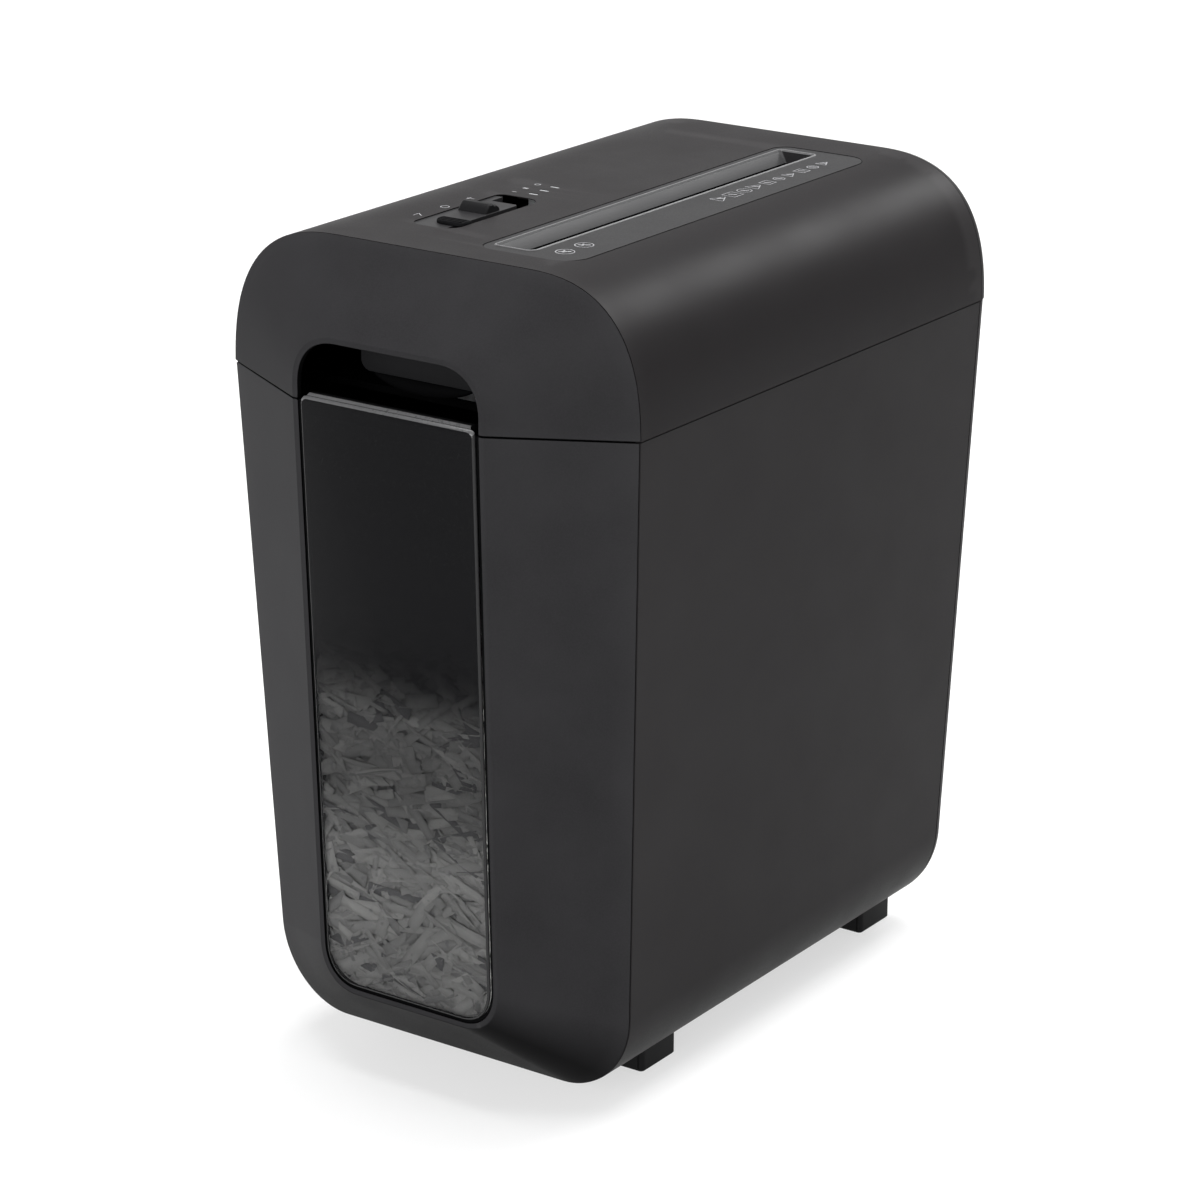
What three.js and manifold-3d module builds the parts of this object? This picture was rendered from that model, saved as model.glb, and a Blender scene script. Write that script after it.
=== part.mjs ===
// Cross-cut paper shredder: a motor head on a tapered cabinet with a pull-out bin.
// Millimetres, +Z up. The front faces -Y and the origin is the middle of the footprint, on the ground.
import * as THREE from "three";
import { mergeVertices } from "three/addons/utils/BufferGeometryUtils.js";
import Module from "manifold-3d";

const wasm = await Module();
wasm.setup();

// ---------------------------------------------------------------- driving dimensions

const GAP = 0.3; // between neighbouring pieces
const WALL = 3; // moulded shell thickness

const FRONT_Y = -160; // rim of the front opening
const SKIN_FRONT_Y = -130; // where the side skin meets the front hood
const SKIN_REAR_Y = 152; // where the side skin meets the rear cap
const REAR_Y = 160;
const TOP_Z = 382;
const SEAM_Z = 317; // head above, cabinet below
const BELLY_Z = 10.5; // underside of the cabinet

const HEAD_HALF = 107.5; // half width of the head
const CABINET_HALF = 106.9; // half width of the cabinet at the seam
const SHOULDER = { across: 60, down: 70, power: 2.65 }; // superellipse of the head's shoulders
const HEEL_R = 39; // lower corners of the cabinet
const REAR_CROWN = 8; // how far the rear cap draws in
const DRAFT_SIDE = 0.038; // per mm below the seam, each side
const DRAFT_FRONT = 0.041;
const DRAFT_REAR = 0.023;

const OPENING = { half: 48.5, halfLow: 52, top: 344, bottom: 43, rTop: 21, rBottom: 20, power: 2.3 };
const RIM = 2.5; // flat rim round the front opening
const LENS_GAP = 1.8;

const SLOT = { x: 25.25, y0: -104.3, y1: 120.7, halfMouth: 9, halfThroat: 2.75 };
const FUNNEL = { shoulder: 7.2, throat: 13.5, floor: 30 }; // depths of the slot's funnel

const BEZEL = { x0: 10, x1: 60, y0: -112, y1: 128, r: 9 };
const POCKET = { x0: -38, x1: -14.5, y0: -95, y1: -28, r: 8, skin: 1.2 }; // switch opening in the head cover
const LIGHTS = { x: -25.4, y0: -20, pitch: 8.2, count: 3, long: 5, wide: 1.5 };

const CUTTER_Z = 332;
const CUTTER_SPACING = 28.5;
const CUTTER = { disc: 16, spacer: 11.3, pitch: 18, thick: 8, count: 12, journal: 5 };
const AXIS_A = { x: SLOT.x - CUTTER_SPACING / 2, z: CUTTER_Z };
const AXIS_B = { x: SLOT.x + CUTTER_SPACING / 2, z: CUTTER_Z };
const MOTOR_AXIS = { x: -52, z: 343 };
const GEAR_CASE = { x0: -64, x1: 58.5, z0: 301.5, z1: 371, rear: 151, wall: 2 };
const PLATE = { front: -107, rear: 123, thick: 2 }; // cutter end plates, middle of each
const TRAY_Z = 309; // underside of the head's base tray

// Gear train: the motor pinion drives two compound gears and then the gear on cutter shaft A.
const PRESSURE_ANGLE = THREE.MathUtils.degToRad(25);
const ADDENDUM = 0.8;
const DEDENDUM = 1.05;
const BACKLASH = 0.34;
const TEETH = { pinion: 12, first: 42, firstPinion: 12, second: 30, secondPinion: 12, final: 30, sync: 19 };
const MODULE = { first: 1, second: 1.25, final: 1.5, sync: 1.5 };
const GEAR_BAND = { inner: [128, 134], middle: [135.5, 141.5], outer: [142.5, 147.5] };

const BIN_TRAVEL_FLOOR_Z = 18.5; // underside of the bin tub
const TUB = { half: 102.2, top: 298, r: 33, wall: 2, front: -129.4, rear: 136 };
const FOOT = { outer: 72.6, wide: 27, frontY: -72.6, rearY: 117.3, long: 27.2 };

// ---------------------------------------------------------------- materials

const paint = (color, roughness, metalness = 0, extra = {}) =>
  new THREE.MeshStandardMaterial({ color, roughness, metalness, ...extra });
const MATERIALS = {
  casing: paint(0x2b2b2d, 0.5),
  front: paint(0x252527, 0.45),
  bezel: paint(0x3a3a3d, 0.4),
  black: paint(0x0b0b0c, 0.5),
  smoked: paint(0x141416, 0.08, 0, { transparent: true, opacity: 0.4 }),
  steel: paint(0x8d9094, 0.35, 1),
  cutterSteel: paint(0x5d6065, 0.3, 1),
  nylon: paint(0xd9d4c4, 0.55),
  brass: paint(0xb08d4a, 0.35, 1),
  board: paint(0x1e5a35, 0.6),
  light: paint(0xcfd3d6, 0.3),
  rubber: paint(0x141415, 0.8),
};

// ---------------------------------------------------------------- solids

function solidOf(geometry) {
  const bare = geometry.index ? geometry.toNonIndexed() : geometry.clone();
  for (const name of Object.keys(bare.attributes)) if (name !== "position") bare.deleteAttribute(name);
  const merged = mergeVertices(bare, 1e-3);
  const tris = new Uint32Array(merged.index.array);
  const build = () =>
    new wasm.Manifold(
      new wasm.Mesh({ numProp: 3, vertProperties: merged.attributes.position.array, triVerts: tris }),
    );
  const made = build();
  if (made.volume() >= 0) return made;
  for (let i = 0; i < tris.length; i += 3) [tris[i + 1], tris[i + 2]] = [tris[i + 2], tris[i + 1]];
  return build();
}

function geometryOf(solid) {
  const mesh = solid.getMesh();
  const position = new Float32Array(mesh.numVert * 3);
  for (let i = 0; i < mesh.numVert; i++) {
    position.set(mesh.vertProperties.subarray(i * mesh.numProp, i * mesh.numProp + 3), i * 3);
  }
  const geometry = new THREE.BufferGeometry();
  geometry.setAttribute("position", new THREE.BufferAttribute(position, 3));
  geometry.setIndex(new THREE.BufferAttribute(new Uint32Array(mesh.triVerts), 1));
  return geometry.toNonIndexed();
}

const group = new THREE.Group();

function add(name, shape, material) {
  const geometry = shape.isBufferGeometry ? shape : geometryOf(shape);
  geometry.computeVertexNormals();
  const mesh = new THREE.Mesh(geometry, material);
  mesh.name = name;
  group.add(mesh);
}

const join = (...solids) => solids.reduce((a, b) => a.add(b));
const cut = (solid, ...tools) => tools.reduce((a, b) => a.subtract(b), solid);

function box([x0, x1], [y0, y1], [z0, z1]) {
  const geometry = new THREE.BoxGeometry(x1 - x0, y1 - y0, z1 - z0);
  geometry.translate((x0 + x1) / 2, (y0 + y1) / 2, (z0 + z1) / 2);
  return solidOf(geometry);
}

// A cylinder along Y between y0 and y1 on the axis at (x, z).
function rod({ x, z }, radius, [y0, y1], sides = 20) {
  const geometry = new THREE.CylinderGeometry(radius, radius, y1 - y0, sides);
  geometry.translate(x, (y0 + y1) / 2, z);
  return solidOf(geometry);
}

function shapeOf(points, holes = []) {
  const shape = new THREE.Shape(points.map(([u, v]) => new THREE.Vector2(u, v)));
  for (const hole of holes) shape.holes.push(new THREE.Path(hole.map(([u, v]) => new THREE.Vector2(u, v))));
  return shape;
}

// An outline in X and Z carried along Y.
function alongY(points, [y0, y1], holes = []) {
  const geometry = new THREE.ExtrudeGeometry(shapeOf(points, holes), { depth: y1 - y0, bevelEnabled: false });
  geometry.rotateX(Math.PI / 2);
  geometry.translate(0, y1, 0);
  return solidOf(geometry);
}

// An outline in X and Y carried along Z.
function alongZ(points, [z0, z1], holes = []) {
  const geometry = new THREE.ExtrudeGeometry(shapeOf(points, holes), { depth: z1 - z0, bevelEnabled: false });
  geometry.translate(0, 0, z0);
  return solidOf(geometry);
}

// An outline in Y and Z carried along X.
function alongX(points, [x0, x1]) {
  const geometry = new THREE.ExtrudeGeometry(shapeOf(points), { depth: x1 - x0, bevelEnabled: false });
  geometry.applyMatrix4(new THREE.Matrix4().set(0, 0, 1, x0, 1, 0, 0, 0, 0, 1, 0, 0, 0, 0, 0, 1));
  return solidOf(geometry);
}

// A solid through convex rings of equal point count, closed by a flat cap at each end.
function loft(rings) {
  const count = rings[0].length;
  const position = [];
  const face = (...corners) => corners.forEach((p) => position.push(...p));
  for (let r = 0; r + 1 < rings.length; r++) {
    for (let i = 0; i < count; i++) {
      const j = (i + 1) % count;
      face(rings[r][i], rings[r][j], rings[r + 1][j]);
      face(rings[r][i], rings[r + 1][j], rings[r + 1][i]);
    }
  }
  const last = rings[rings.length - 1];
  for (let i = 1; i + 1 < count; i++) {
    face(rings[0][0], rings[0][i + 1], rings[0][i]);
    face(last[0], last[i], last[i + 1]);
  }
  const geometry = new THREE.BufferGeometry();
  geometry.setAttribute("position", new THREE.BufferAttribute(new Float32Array(position), 3));
  return solidOf(geometry);
}

const ring = (loop, y) => loop.map(([x, z]) => [x, y, z]);

// ---------------------------------------------------------------- outlines

const CORNER_STEPS = 7;

// A superellipse corner about (cx, cz) from angle t0 to t1, in quarter turns.
function corner(cx, cz, a, b, power, t0, t1, steps = CORNER_STEPS) {
  const points = [];
  const bend = (value) => Math.sign(value) * Math.abs(value) ** (2 / power);
  for (let i = 0; i <= steps; i++) {
    const t = (t0 + ((t1 - t0) * i) / steps) * (Math.PI / 2);
    const c = Math.abs(Math.cos(t)) < 1e-9 ? 0 : Math.cos(t);
    const s = Math.abs(Math.sin(t)) < 1e-9 ? 0 : Math.sin(t);
    points.push([cx + a * bend(c), cz + b * bend(s)]);
  }
  return points;
}

// An arch: flat foot at z0, straight sides and two upper corners.
function archLoop(half, z0, top, across, down, power, steps = CORNER_STEPS) {
  const centreZ = top - down;
  const rise = Math.max(0, (z0 - centreZ) / down);
  const start = Math.asin(rise ** (power / 2)) / (Math.PI / 2);
  const foot = rise > 0 ? [] : [[half, z0]];
  const bends = steps + 1 - foot.length; // so that every arch has the same number of points
  const right = [...foot, ...corner(half - across, centreZ, across, down, power, start, 1, bends)];
  return [...right, ...right.map(([x, z]) => [-x, z]).reverse()];
}

// A trough: flat top edge at z1, sides that may widen or narrow, and two lower corners.
function troughLoop(half, halfLow, z1, bottom, r, power = 2, steps = CORNER_STEPS) {
  const left = corner(-halfLow + r, bottom + r, r, r, power, 2, 3, steps);
  return [[half, z1], [-half, z1], ...left, ...left.map(([x, z]) => [-x, z]).reverse()];
}

function roundedRect(x0, x1, y0, y1, r, steps = 4) {
  return [
    ...corner(x1 - r, y1 - r, r, r, 2, 0, 1, steps),
    ...corner(x0 + r, y1 - r, r, r, 2, 1, 2, steps),
    ...corner(x0 + r, y0 + r, r, r, 2, 2, 3, steps),
    ...corner(x1 - r, y0 + r, r, r, 2, 3, 4, steps),
  ];
}

function circle({ x, z }, radius, sides = 20) {
  return Array.from({ length: sides }, (_, i) => {
    const t = (i / sides) * 2 * Math.PI;
    return [x + radius * Math.cos(t), z + radius * Math.sin(t)];
  });
}

const headLoop = (inset, z0 = SEAM_Z + GAP) =>
  archLoop(
    HEAD_HALF - inset,
    z0,
    TOP_Z - inset,
    SHOULDER.across - inset,
    SHOULDER.down - inset,
    SHOULDER.power,
  );
const cabinetLoop = (inset, z1 = SEAM_Z - GAP) =>
  troughLoop(CABINET_HALF - inset, CABINET_HALF - inset, z1, BELLY_Z + inset, HEEL_R - inset);
const openingArch = (grow, z0 = SEAM_Z + GAP) =>
  archLoop(
    OPENING.half + grow,
    z0,
    OPENING.top + grow,
    OPENING.rTop + grow,
    OPENING.rTop + grow,
    OPENING.power,
  );
const openingTrough = (grow, z1 = SEAM_Z - GAP) =>
  troughLoop(
    OPENING.half + grow,
    OPENING.halfLow + grow,
    z1,
    OPENING.bottom - grow,
    OPENING.rBottom + grow,
    OPENING.power,
  );

// The cabinet and the bin draw in below the seam. Both are modelled straight and then tapered here.
function taper(solid) {
  const geometry = geometryOf(solid);
  const p = geometry.attributes.position;
  for (let i = 0; i < p.count; i++) {
    const below = Math.max(0, SEAM_Z - p.getZ(i));
    const share = THREE.MathUtils.clamp((p.getY(i) - SKIN_FRONT_Y) / (SKIN_REAR_Y - SKIN_FRONT_Y), 0, 1);
    p.setX(i, p.getX(i) * (1 - (DRAFT_SIDE * below) / CABINET_HALF));
    p.setY(i, p.getY(i) + below * THREE.MathUtils.lerp(DRAFT_FRONT, -DRAFT_REAR, share));
  }
  return solidOf(geometry);
}

// ---------------------------------------------------------------- casing

function headCover() {
  const skin = cut(
    alongY(headLoop(0), [SKIN_FRONT_Y + GAP, SKIN_REAR_Y - GAP]),
    alongY(headLoop(WALL, SEAM_Z - 1), [SKIN_FRONT_Y - 1, SKIN_REAR_Y + 1]),
  );
  const pocket = alongZ(roundedRect(POCKET.x0, POCKET.x1, POCKET.y0, POCKET.y1, POCKET.r), [360, 400]);
  const seat = alongZ(
    roundedRect(BEZEL.x0 - GAP, BEZEL.x1 + GAP, BEZEL.y0 - GAP, BEZEL.y1 + GAP, BEZEL.r),
    [360, 400],
  );
  // Thinner round the pocket, so that the slider runs close under the top.
  const relief = box(
    [SLIDER.x0 - 1, SLIDER.x1 + 1],
    [SLIDER.y0 - SLIDER.reverse - 1, SLIDER.y1 + SLIDER.on + 1],
    [370, TOP_Z - POCKET.skin],
  );
  return cut(skin, pocket, seat, relief, ...lightPads(GAP, [360, 400]));
}

function lightPads(grow, [z0, z1]) {
  return Array.from({ length: LIGHTS.count }, (_, i) => {
    const y = LIGHTS.y0 + i * LIGHTS.pitch;
    return box(
      [LIGHTS.x - LIGHTS.long / 2 - grow, LIGHTS.x + LIGHTS.long / 2 + grow],
      [y - LIGHTS.wide / 2 - grow, y + LIGHTS.wide / 2 + grow],
      [z0, z1],
    );
  });
}

// A hood that narrows forwards from the skin's outline to the rim of the opening.
function hood(outer, outerInset, rim, rimInset, opening) {
  const body = loft([ring(outer, SKIN_FRONT_Y), ring(rim, FRONT_Y)]);
  const hollow = loft([ring(outerInset, SKIN_FRONT_Y + 1), ring(rimInset, FRONT_Y + WALL)]);
  return cut(body, hollow, alongY(opening, [FRONT_Y - 5, SKIN_FRONT_Y]));
}

const headFrontFascia = () =>
  hood(
    headLoop(0),
    headLoop(WALL, SEAM_Z - 1),
    openingArch(RIM),
    openingArch(RIM - 0.5, SEAM_Z - 1),
    openingArch(0, SEAM_Z - 1),
  );

const binFrontPanel = () =>
  taper(
    hood(
      cabinetLoop(0),
      cabinetLoop(WALL, SEAM_Z + 1),
      openingTrough(RIM),
      openingTrough(RIM - 0.5, SEAM_Z + 1),
      openingTrough(0, SEAM_Z + 1),
    ),
  );

const GLAND = { x: -78, z: 331 };
const GLAND_R = 7;
const VENT = { x0: -34, count: 9, pitch: 8.5, wide: 3.2, z0: 328, z1: 356 };

function rearCap(loop, loopInset) {
  const body = loft([
    ring(loop(0), SKIN_REAR_Y),
    ring(loop(REAR_CROWN * 0.3), SKIN_REAR_Y + REAR_CROWN * 0.72),
    ring(loop(REAR_CROWN), REAR_Y),
  ]);
  const hollow = loft([ring(loopInset(WALL), SKIN_REAR_Y - 1), ring(loopInset(REAR_CROWN), REAR_Y - WALL)]);
  return cut(body, hollow);
}

function headRearCover() {
  const cap = rearCap(headLoop, (inset) => headLoop(inset, SEAM_Z - 1));
  const vents = Array.from({ length: VENT.count }, (_, i) => {
    const x = VENT.x0 + i * VENT.pitch;
    return box([x - VENT.wide / 2, x + VENT.wide / 2], [REAR_Y - 8, REAR_Y + 2], [VENT.z0, VENT.z1]);
  });
  return cut(cap, ...vents, rod(GLAND, GLAND_R + GAP, [REAR_Y - 8, REAR_Y + 2]));
}

const SCREW = { r: 3.4, x: 74, high: 292, low: 62 };
const screwPlaces = [
  { x: -SCREW.x, z: SCREW.high },
  { x: SCREW.x, z: SCREW.high },
  { x: -SCREW.x, z: SCREW.low },
  { x: SCREW.x, z: SCREW.low },
];

// The rear cap's own taper, for holes and screws that stay square to it.
const rearFaceY = (z) => REAR_Y - DRAFT_REAR * (SEAM_Z - z);

function cabinetRearPanel() {
  const panel = taper(rearCap(cabinetLoop, (inset) => cabinetLoop(inset, SEAM_Z + 1)));
  return cut(panel, ...screwPlaces.map((p) => rod(p, SCREW.r + GAP, [REAR_Y - 30, REAR_Y + 2], 12)));
}

// The head rests on this shell, so its top edge stays whole all along both sides.
const cabinetShell = () =>
  taper(
    cut(
      alongY(cabinetLoop(0), [SKIN_FRONT_Y + 0.6, SKIN_REAR_Y - GAP]),
      alongY(cabinetLoop(WALL, SEAM_Z + 1), [SKIN_FRONT_Y - 1, SKIN_REAR_Y + 1]),
    ),
  );

function foot(side, y) {
  const inner = FOOT.outer - FOOT.wide;
  const xs = side > 0 ? [inner, FOOT.outer] : [-FOOT.outer, -inner];
  const hull = taper(alongY(cabinetLoop(-GAP), [SKIN_FRONT_Y, SKIN_REAR_Y]));
  return cut(box(xs, [y, y + FOOT.long], [0, BELLY_Z + 6]), hull);
}

// ---------------------------------------------------------------- paper entry

function paperEntryBezel() {
  const top = TOP_Z - 0.2;
  const funnelFloor = top - FUNNEL.floor;
  const plate = alongZ(roundedRect(BEZEL.x0, BEZEL.x1, BEZEL.y0, BEZEL.y1, BEZEL.r - GAP), [top - 3, top]);
  const chimney = box(
    [SLOT.x - SLOT.halfMouth - 2, SLOT.x + SLOT.halfMouth + 2],
    [SLOT.y0 - 2, SLOT.y1 + 2],
    [funnelFloor, top - 2],
  );
  // Half of the funnel's section, from the mouth down: two slopes and then a parallel throat.
  const half = [
    [SLOT.halfMouth, top + 1],
    [SLOT.halfMouth, top - 0.6],
    [SLOT.halfMouth - 4.25, top - FUNNEL.shoulder],
    [SLOT.halfThroat, top - FUNNEL.throat],
    [SLOT.halfThroat, funnelFloor - 1],
  ];
  const left = half.map(([dx, z]) => [SLOT.x - dx, z]);
  const right = half.map(([dx, z]) => [SLOT.x + dx, z]).reverse();
  const throat = [...left, ...right];
  const leverNotch = box([SLOT.x, SLOT.x + 20], [LEVER.y - 4, LEVER.y + 4], [funnelFloor - 1, LEVER.z + 6]);
  const lugX = [SLOT.x + SLOT.halfMouth + 1, LEVER.x + 4];
  const lug = (y) => box(lugX, [y, y + 2.5], [LEVER.z - 5, LEVER.z + 5]);
  return cut(
    join(plate, chimney, lug(LEVER.y - 8), lug(LEVER.y + 5.5)),
    alongY(throat, [SLOT.y0, SLOT.y1]),
    leverNotch,
    rod(LEVER, LEVER.axle + GAP, [LEVER.y - 9, LEVER.y + 9], 10),
  );
}

// A finger across the throat that paper pushes down, on a stub axle beside the chimney.
const LEVER = { x: 41, y: 8, z: 360, reach: 17.5, axle: 2 };

function paperLever() {
  const { x, y, z, reach, axle } = LEVER;
  const arm = box([x - reach, x], [y - 1.5, y + 1.5], [z - 1.2, z + 1.2]);
  const tail = box([x - 1.5, x + 1.5], [y - 1.5, y + 1.5], [z - 7, z]);
  return join(arm, tail, rod({ x, z }, axle, [y - 7.7, y + 7.7], 10));
}

// ---------------------------------------------------------------- gears

const involute = (a) => Math.tan(a) - a;

// A spur gear's outline about (x, z): tooth 0 points at angle phase.
function gearLoop({ x, z }, module, teeth, phase) {
  const pitchR = (module * teeth) / 2;
  const baseR = pitchR * Math.cos(PRESSURE_ANGLE);
  const radii = [pitchR - DEDENDUM * module, pitchR, pitchR + ADDENDUM * module];
  const halfTooth = (radius) => {
    const a = radius > baseR ? Math.acos(baseR / radius) : 0;
    return Math.PI / (2 * teeth) - BACKLASH / (2 * pitchR) + involute(PRESSURE_ANGLE) - involute(a);
  };
  const points = [];
  for (let i = 0; i < teeth; i++) {
    const middle = phase + (i / teeth) * 2 * Math.PI;
    const at = (r, t) => [x + r * Math.cos(t), z + r * Math.sin(t)];
    radii.forEach((r) => points.push(at(r, middle - halfTooth(r))));
    [...radii].reverse().forEach((r) => points.push(at(r, middle + halfTooth(r))));
  }
  return points;
}

const gear = (axis, module, teeth, phase, band, bore) =>
  alongY(gearLoop(axis, module, teeth, phase), band, bore ? [circle(axis, bore, 16)] : []);

// The phase that puts a gap of the second gear on a tooth of the first.
function meshPhase(from, fromTeeth, fromPhase, to, toTeeth) {
  const direction = Math.atan2(to.z - from.z, to.x - from.x);
  return direction + Math.PI - (Math.PI - fromTeeth * (direction - fromPhase)) / toTeeth;
}

const centreDistance = (module, a, b) => (module * (a + b)) / 2;

// The point at distance a from p and b from q, on the lower side of the line between them.
function meetBelow(p, a, q, b) {
  const dx = q.x - p.x;
  const dz = q.z - p.z;
  const d = Math.hypot(dx, dz);
  const along = (a * a - b * b + d * d) / (2 * d);
  const off = Math.sqrt(a * a - along * along);
  return { x: p.x + (along * dx + off * dz) / d, z: p.z + (along * dz - off * dx) / d };
}

const SECOND_ANGLE = THREE.MathUtils.degToRad(150); // of the second compound gear, seen from shaft A
const reachSecond = centreDistance(MODULE.final, TEETH.secondPinion, TEETH.final);
const AXIS_2 = {
  x: AXIS_A.x + reachSecond * Math.cos(SECOND_ANGLE),
  z: AXIS_A.z + reachSecond * Math.sin(SECOND_ANGLE),
};
const AXIS_1 = meetBelow(
  MOTOR_AXIS,
  centreDistance(MODULE.first, TEETH.pinion, TEETH.first),
  AXIS_2,
  centreDistance(MODULE.second, TEETH.firstPinion, TEETH.second),
);

const PHASE_A = 0;
const phaseSyncB = meshPhase(AXIS_A, TEETH.sync, PHASE_A, AXIS_B, TEETH.sync);
const phaseSecondPinion = meshPhase(AXIS_A, TEETH.final, PHASE_A, AXIS_2, TEETH.secondPinion);
const phaseFirstPinion = meshPhase(AXIS_2, TEETH.second, PHASE_A, AXIS_1, TEETH.firstPinion);
const phaseMotorPinion = meshPhase(AXIS_1, TEETH.first, PHASE_A, MOTOR_AXIS, TEETH.pinion);

const AXLE_R = 3;
const BORE_R = AXLE_R + GAP;

function reductionGearFirst() {
  const { inner, outer } = GEAR_BAND;
  return cut(
    join(
      gear(AXIS_1, MODULE.first, TEETH.first, PHASE_A, inner),
      rod(AXIS_1, 5.5, [inner[1] - 1, outer[0] + 1], 16),
      gear(AXIS_1, MODULE.second, TEETH.firstPinion, phaseFirstPinion, outer),
    ),
    rod(AXIS_1, BORE_R, [inner[0] - 1, outer[1] + 1], 16),
  );
}

function reductionGearSecond() {
  const { middle, outer } = GEAR_BAND;
  return cut(
    join(
      gear(AXIS_2, MODULE.final, TEETH.secondPinion, phaseSecondPinion, middle),
      rod(AXIS_2, 5.5, [middle[1] - 1, outer[0] + 1], 16),
      gear(AXIS_2, MODULE.second, TEETH.second, PHASE_A, outer),
    ),
    rod(AXIS_2, BORE_R, [middle[0] - 1, outer[1] + 1], 16),
  );
}

// ---------------------------------------------------------------- cutter block

// Discs and spacers turned in one piece with their shaft. Shaft B's discs sit in shaft A's gaps.
function cutterRoll(axis, firstDisc, rearEnd) {
  const { disc, spacer, pitch, thick, count, journal } = CUTTER;
  const rollEnds = [PLATE.front + 3, PLATE.rear - 3];
  const profile = [[0, PLATE.front - 6], [journal, PLATE.front - 6], [journal, rollEnds[0]]];
  profile.push([spacer, rollEnds[0]]);
  for (let i = 0; i < count; i++) {
    const y = firstDisc + i * pitch;
    profile.push([spacer, y], [disc, y], [disc, y + thick], [spacer, y + thick]);
  }
  profile.push([spacer, rollEnds[1]], [journal, rollEnds[1]], [journal, rearEnd], [0, rearEnd]);
  const turned = new THREE.LatheGeometry(profile.map(([r, y]) => new THREE.Vector2(r, y)), 14);
  turned.translate(axis.x, 0, axis.z);
  return solidOf(turned);
}

const FIRST_DISC_A = -101;
const FIRST_DISC_B = FIRST_DISC_A + CUTTER.pitch / 2;

// A bar beside a roll, with a finger in each of the roll's gaps.
function stripperComb(axis, side, firstDisc) {
  const xs = (a, b) => (side > 0 ? [axis.x + a, axis.x + b] : [axis.x - b, axis.x - a]);
  const bar = box(xs(18, 23), [PLATE.front + 1.5, PLATE.rear - 1.5], [CUTTER_Z - 6, CUTTER_Z + 6]);
  const fingers = [];
  for (let i = 0; i + 1 < CUTTER.count; i++) {
    const y = firstDisc + i * CUTTER.pitch + CUTTER.thick;
    const room = CUTTER.pitch - CUTTER.thick;
    fingers.push(box(xs(12.2, 19), [y + 1, y + room - 1], [CUTTER_Z - 3, CUTTER_Z + 3]));
  }
  return join(bar, ...fingers);
}

const BUSH_R = 8;

function bushing(axis, middle) {
  const body = join(
    rod(axis, BUSH_R, [middle - 2.5, middle + 2.5]),
    rod(axis, BUSH_R + 2, [middle - 2.5, middle - 1.4]),
  );
  return cut(body, rod(axis, CUTTER.journal + GAP, [middle - 5, middle + 5]));
}

const BLOCK_TOP = 350.5; // of the end plates beside the paper chimney
const plateBand = (middle) => [middle - PLATE.thick / 2, middle + PLATE.thick / 2];

function endPlateFront() {
  const outline = roundedRect(AXIS_A.x - 25, AXIS_B.x + 25, TRAY_Z + WALL + GAP, BLOCK_TOP, 5, 2);
  return alongY(outline, plateBand(PLATE.front), [
    circle(AXIS_A, BUSH_R + GAP),
    circle(AXIS_B, BUSH_R + GAP),
  ]);
}

function endPlateRear() {
  const step = SLOT.x - SLOT.halfMouth - 3.5;
  const outline = [
    [MOTOR_AXIS.x - 28, GEAR_CASE.z0],
    [AXIS_B.x + 25, GEAR_CASE.z0],
    [AXIS_B.x + 25, BLOCK_TOP],
    [step, BLOCK_TOP],
    [step, GEAR_CASE.z1],
    [MOTOR_AXIS.x - 28, GEAR_CASE.z1],
  ];
  return alongY(outline, plateBand(PLATE.rear), [
    circle(AXIS_A, BUSH_R + GAP),
    circle(AXIS_B, BUSH_R + GAP),
    circle(AXIS_1, AXLE_R + GAP, 16),
    circle(AXIS_2, AXLE_R + GAP, 16),
    circle(MOTOR_AXIS, 8),
  ]);
}

const TIE_ROD_R = 3;
const tieRodPlaces = {
  upper_left: { x: AXIS_A.x - 18, z: 345 },
  upper_right: { x: AXIS_B.x + 18, z: 345 },
  lower_left: { x: AXIS_A.x - 20, z: 317.5 },
  lower_right: { x: AXIS_B.x + 20, z: 317.5 },
};
const tieRod = (place) =>
  rod(place, TIE_ROD_R, [PLATE.front + PLATE.thick / 2 + GAP, PLATE.rear - PLATE.thick / 2 - GAP], 12);

function gearCover() {
  const { x0, x1, z0, z1, rear, wall } = GEAR_CASE;
  const front = PLATE.rear + PLATE.thick / 2 + GAP;
  return cut(
    box([x0, x1], [front, rear], [z0, z1]),
    box([x0 + wall, x1 - wall], [front - 1, rear - wall], [z0 + wall, z1 - wall]),
  );
}

const gearAxle = (axis) =>
  rod(axis, AXLE_R, [PLATE.rear - PLATE.thick / 2, GEAR_CASE.rear - GEAR_CASE.wall - GAP], 16);

// The guard that shows behind the hand opening: a box over the front of the cutter block.
const GUARD = { x0: -32, x1: 64, front: -137, rear: -114, bottom: 327, top: 364, wall: 2.5 };

// Its lower edge carries a lip that slopes back under the cutters.
function cutterGuard() {
  const { x0, x1, front, rear, bottom, top, wall } = GUARD;
  const shroud = cut(
    box([x0, x1], [front, rear], [bottom, top]),
    box([x0 + wall, x1 - wall], [front + wall, rear + 1], [bottom - 1, top - wall]),
  );
  const lip = [
    [front + 8, bottom - 11],
    [front + 15, bottom - 14],
    [rear, bottom - 14],
    [rear, bottom + 2],
    [rear - 4, bottom + 2],
    [front + 12, bottom - 4],
  ];
  return join(shroud, alongX(lip, [x0 + wall - 0.5, x1 - wall + 0.5]));
}

const TRAY = { half: 103.2, upstand: 18, chute: 17.5 };

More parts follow.
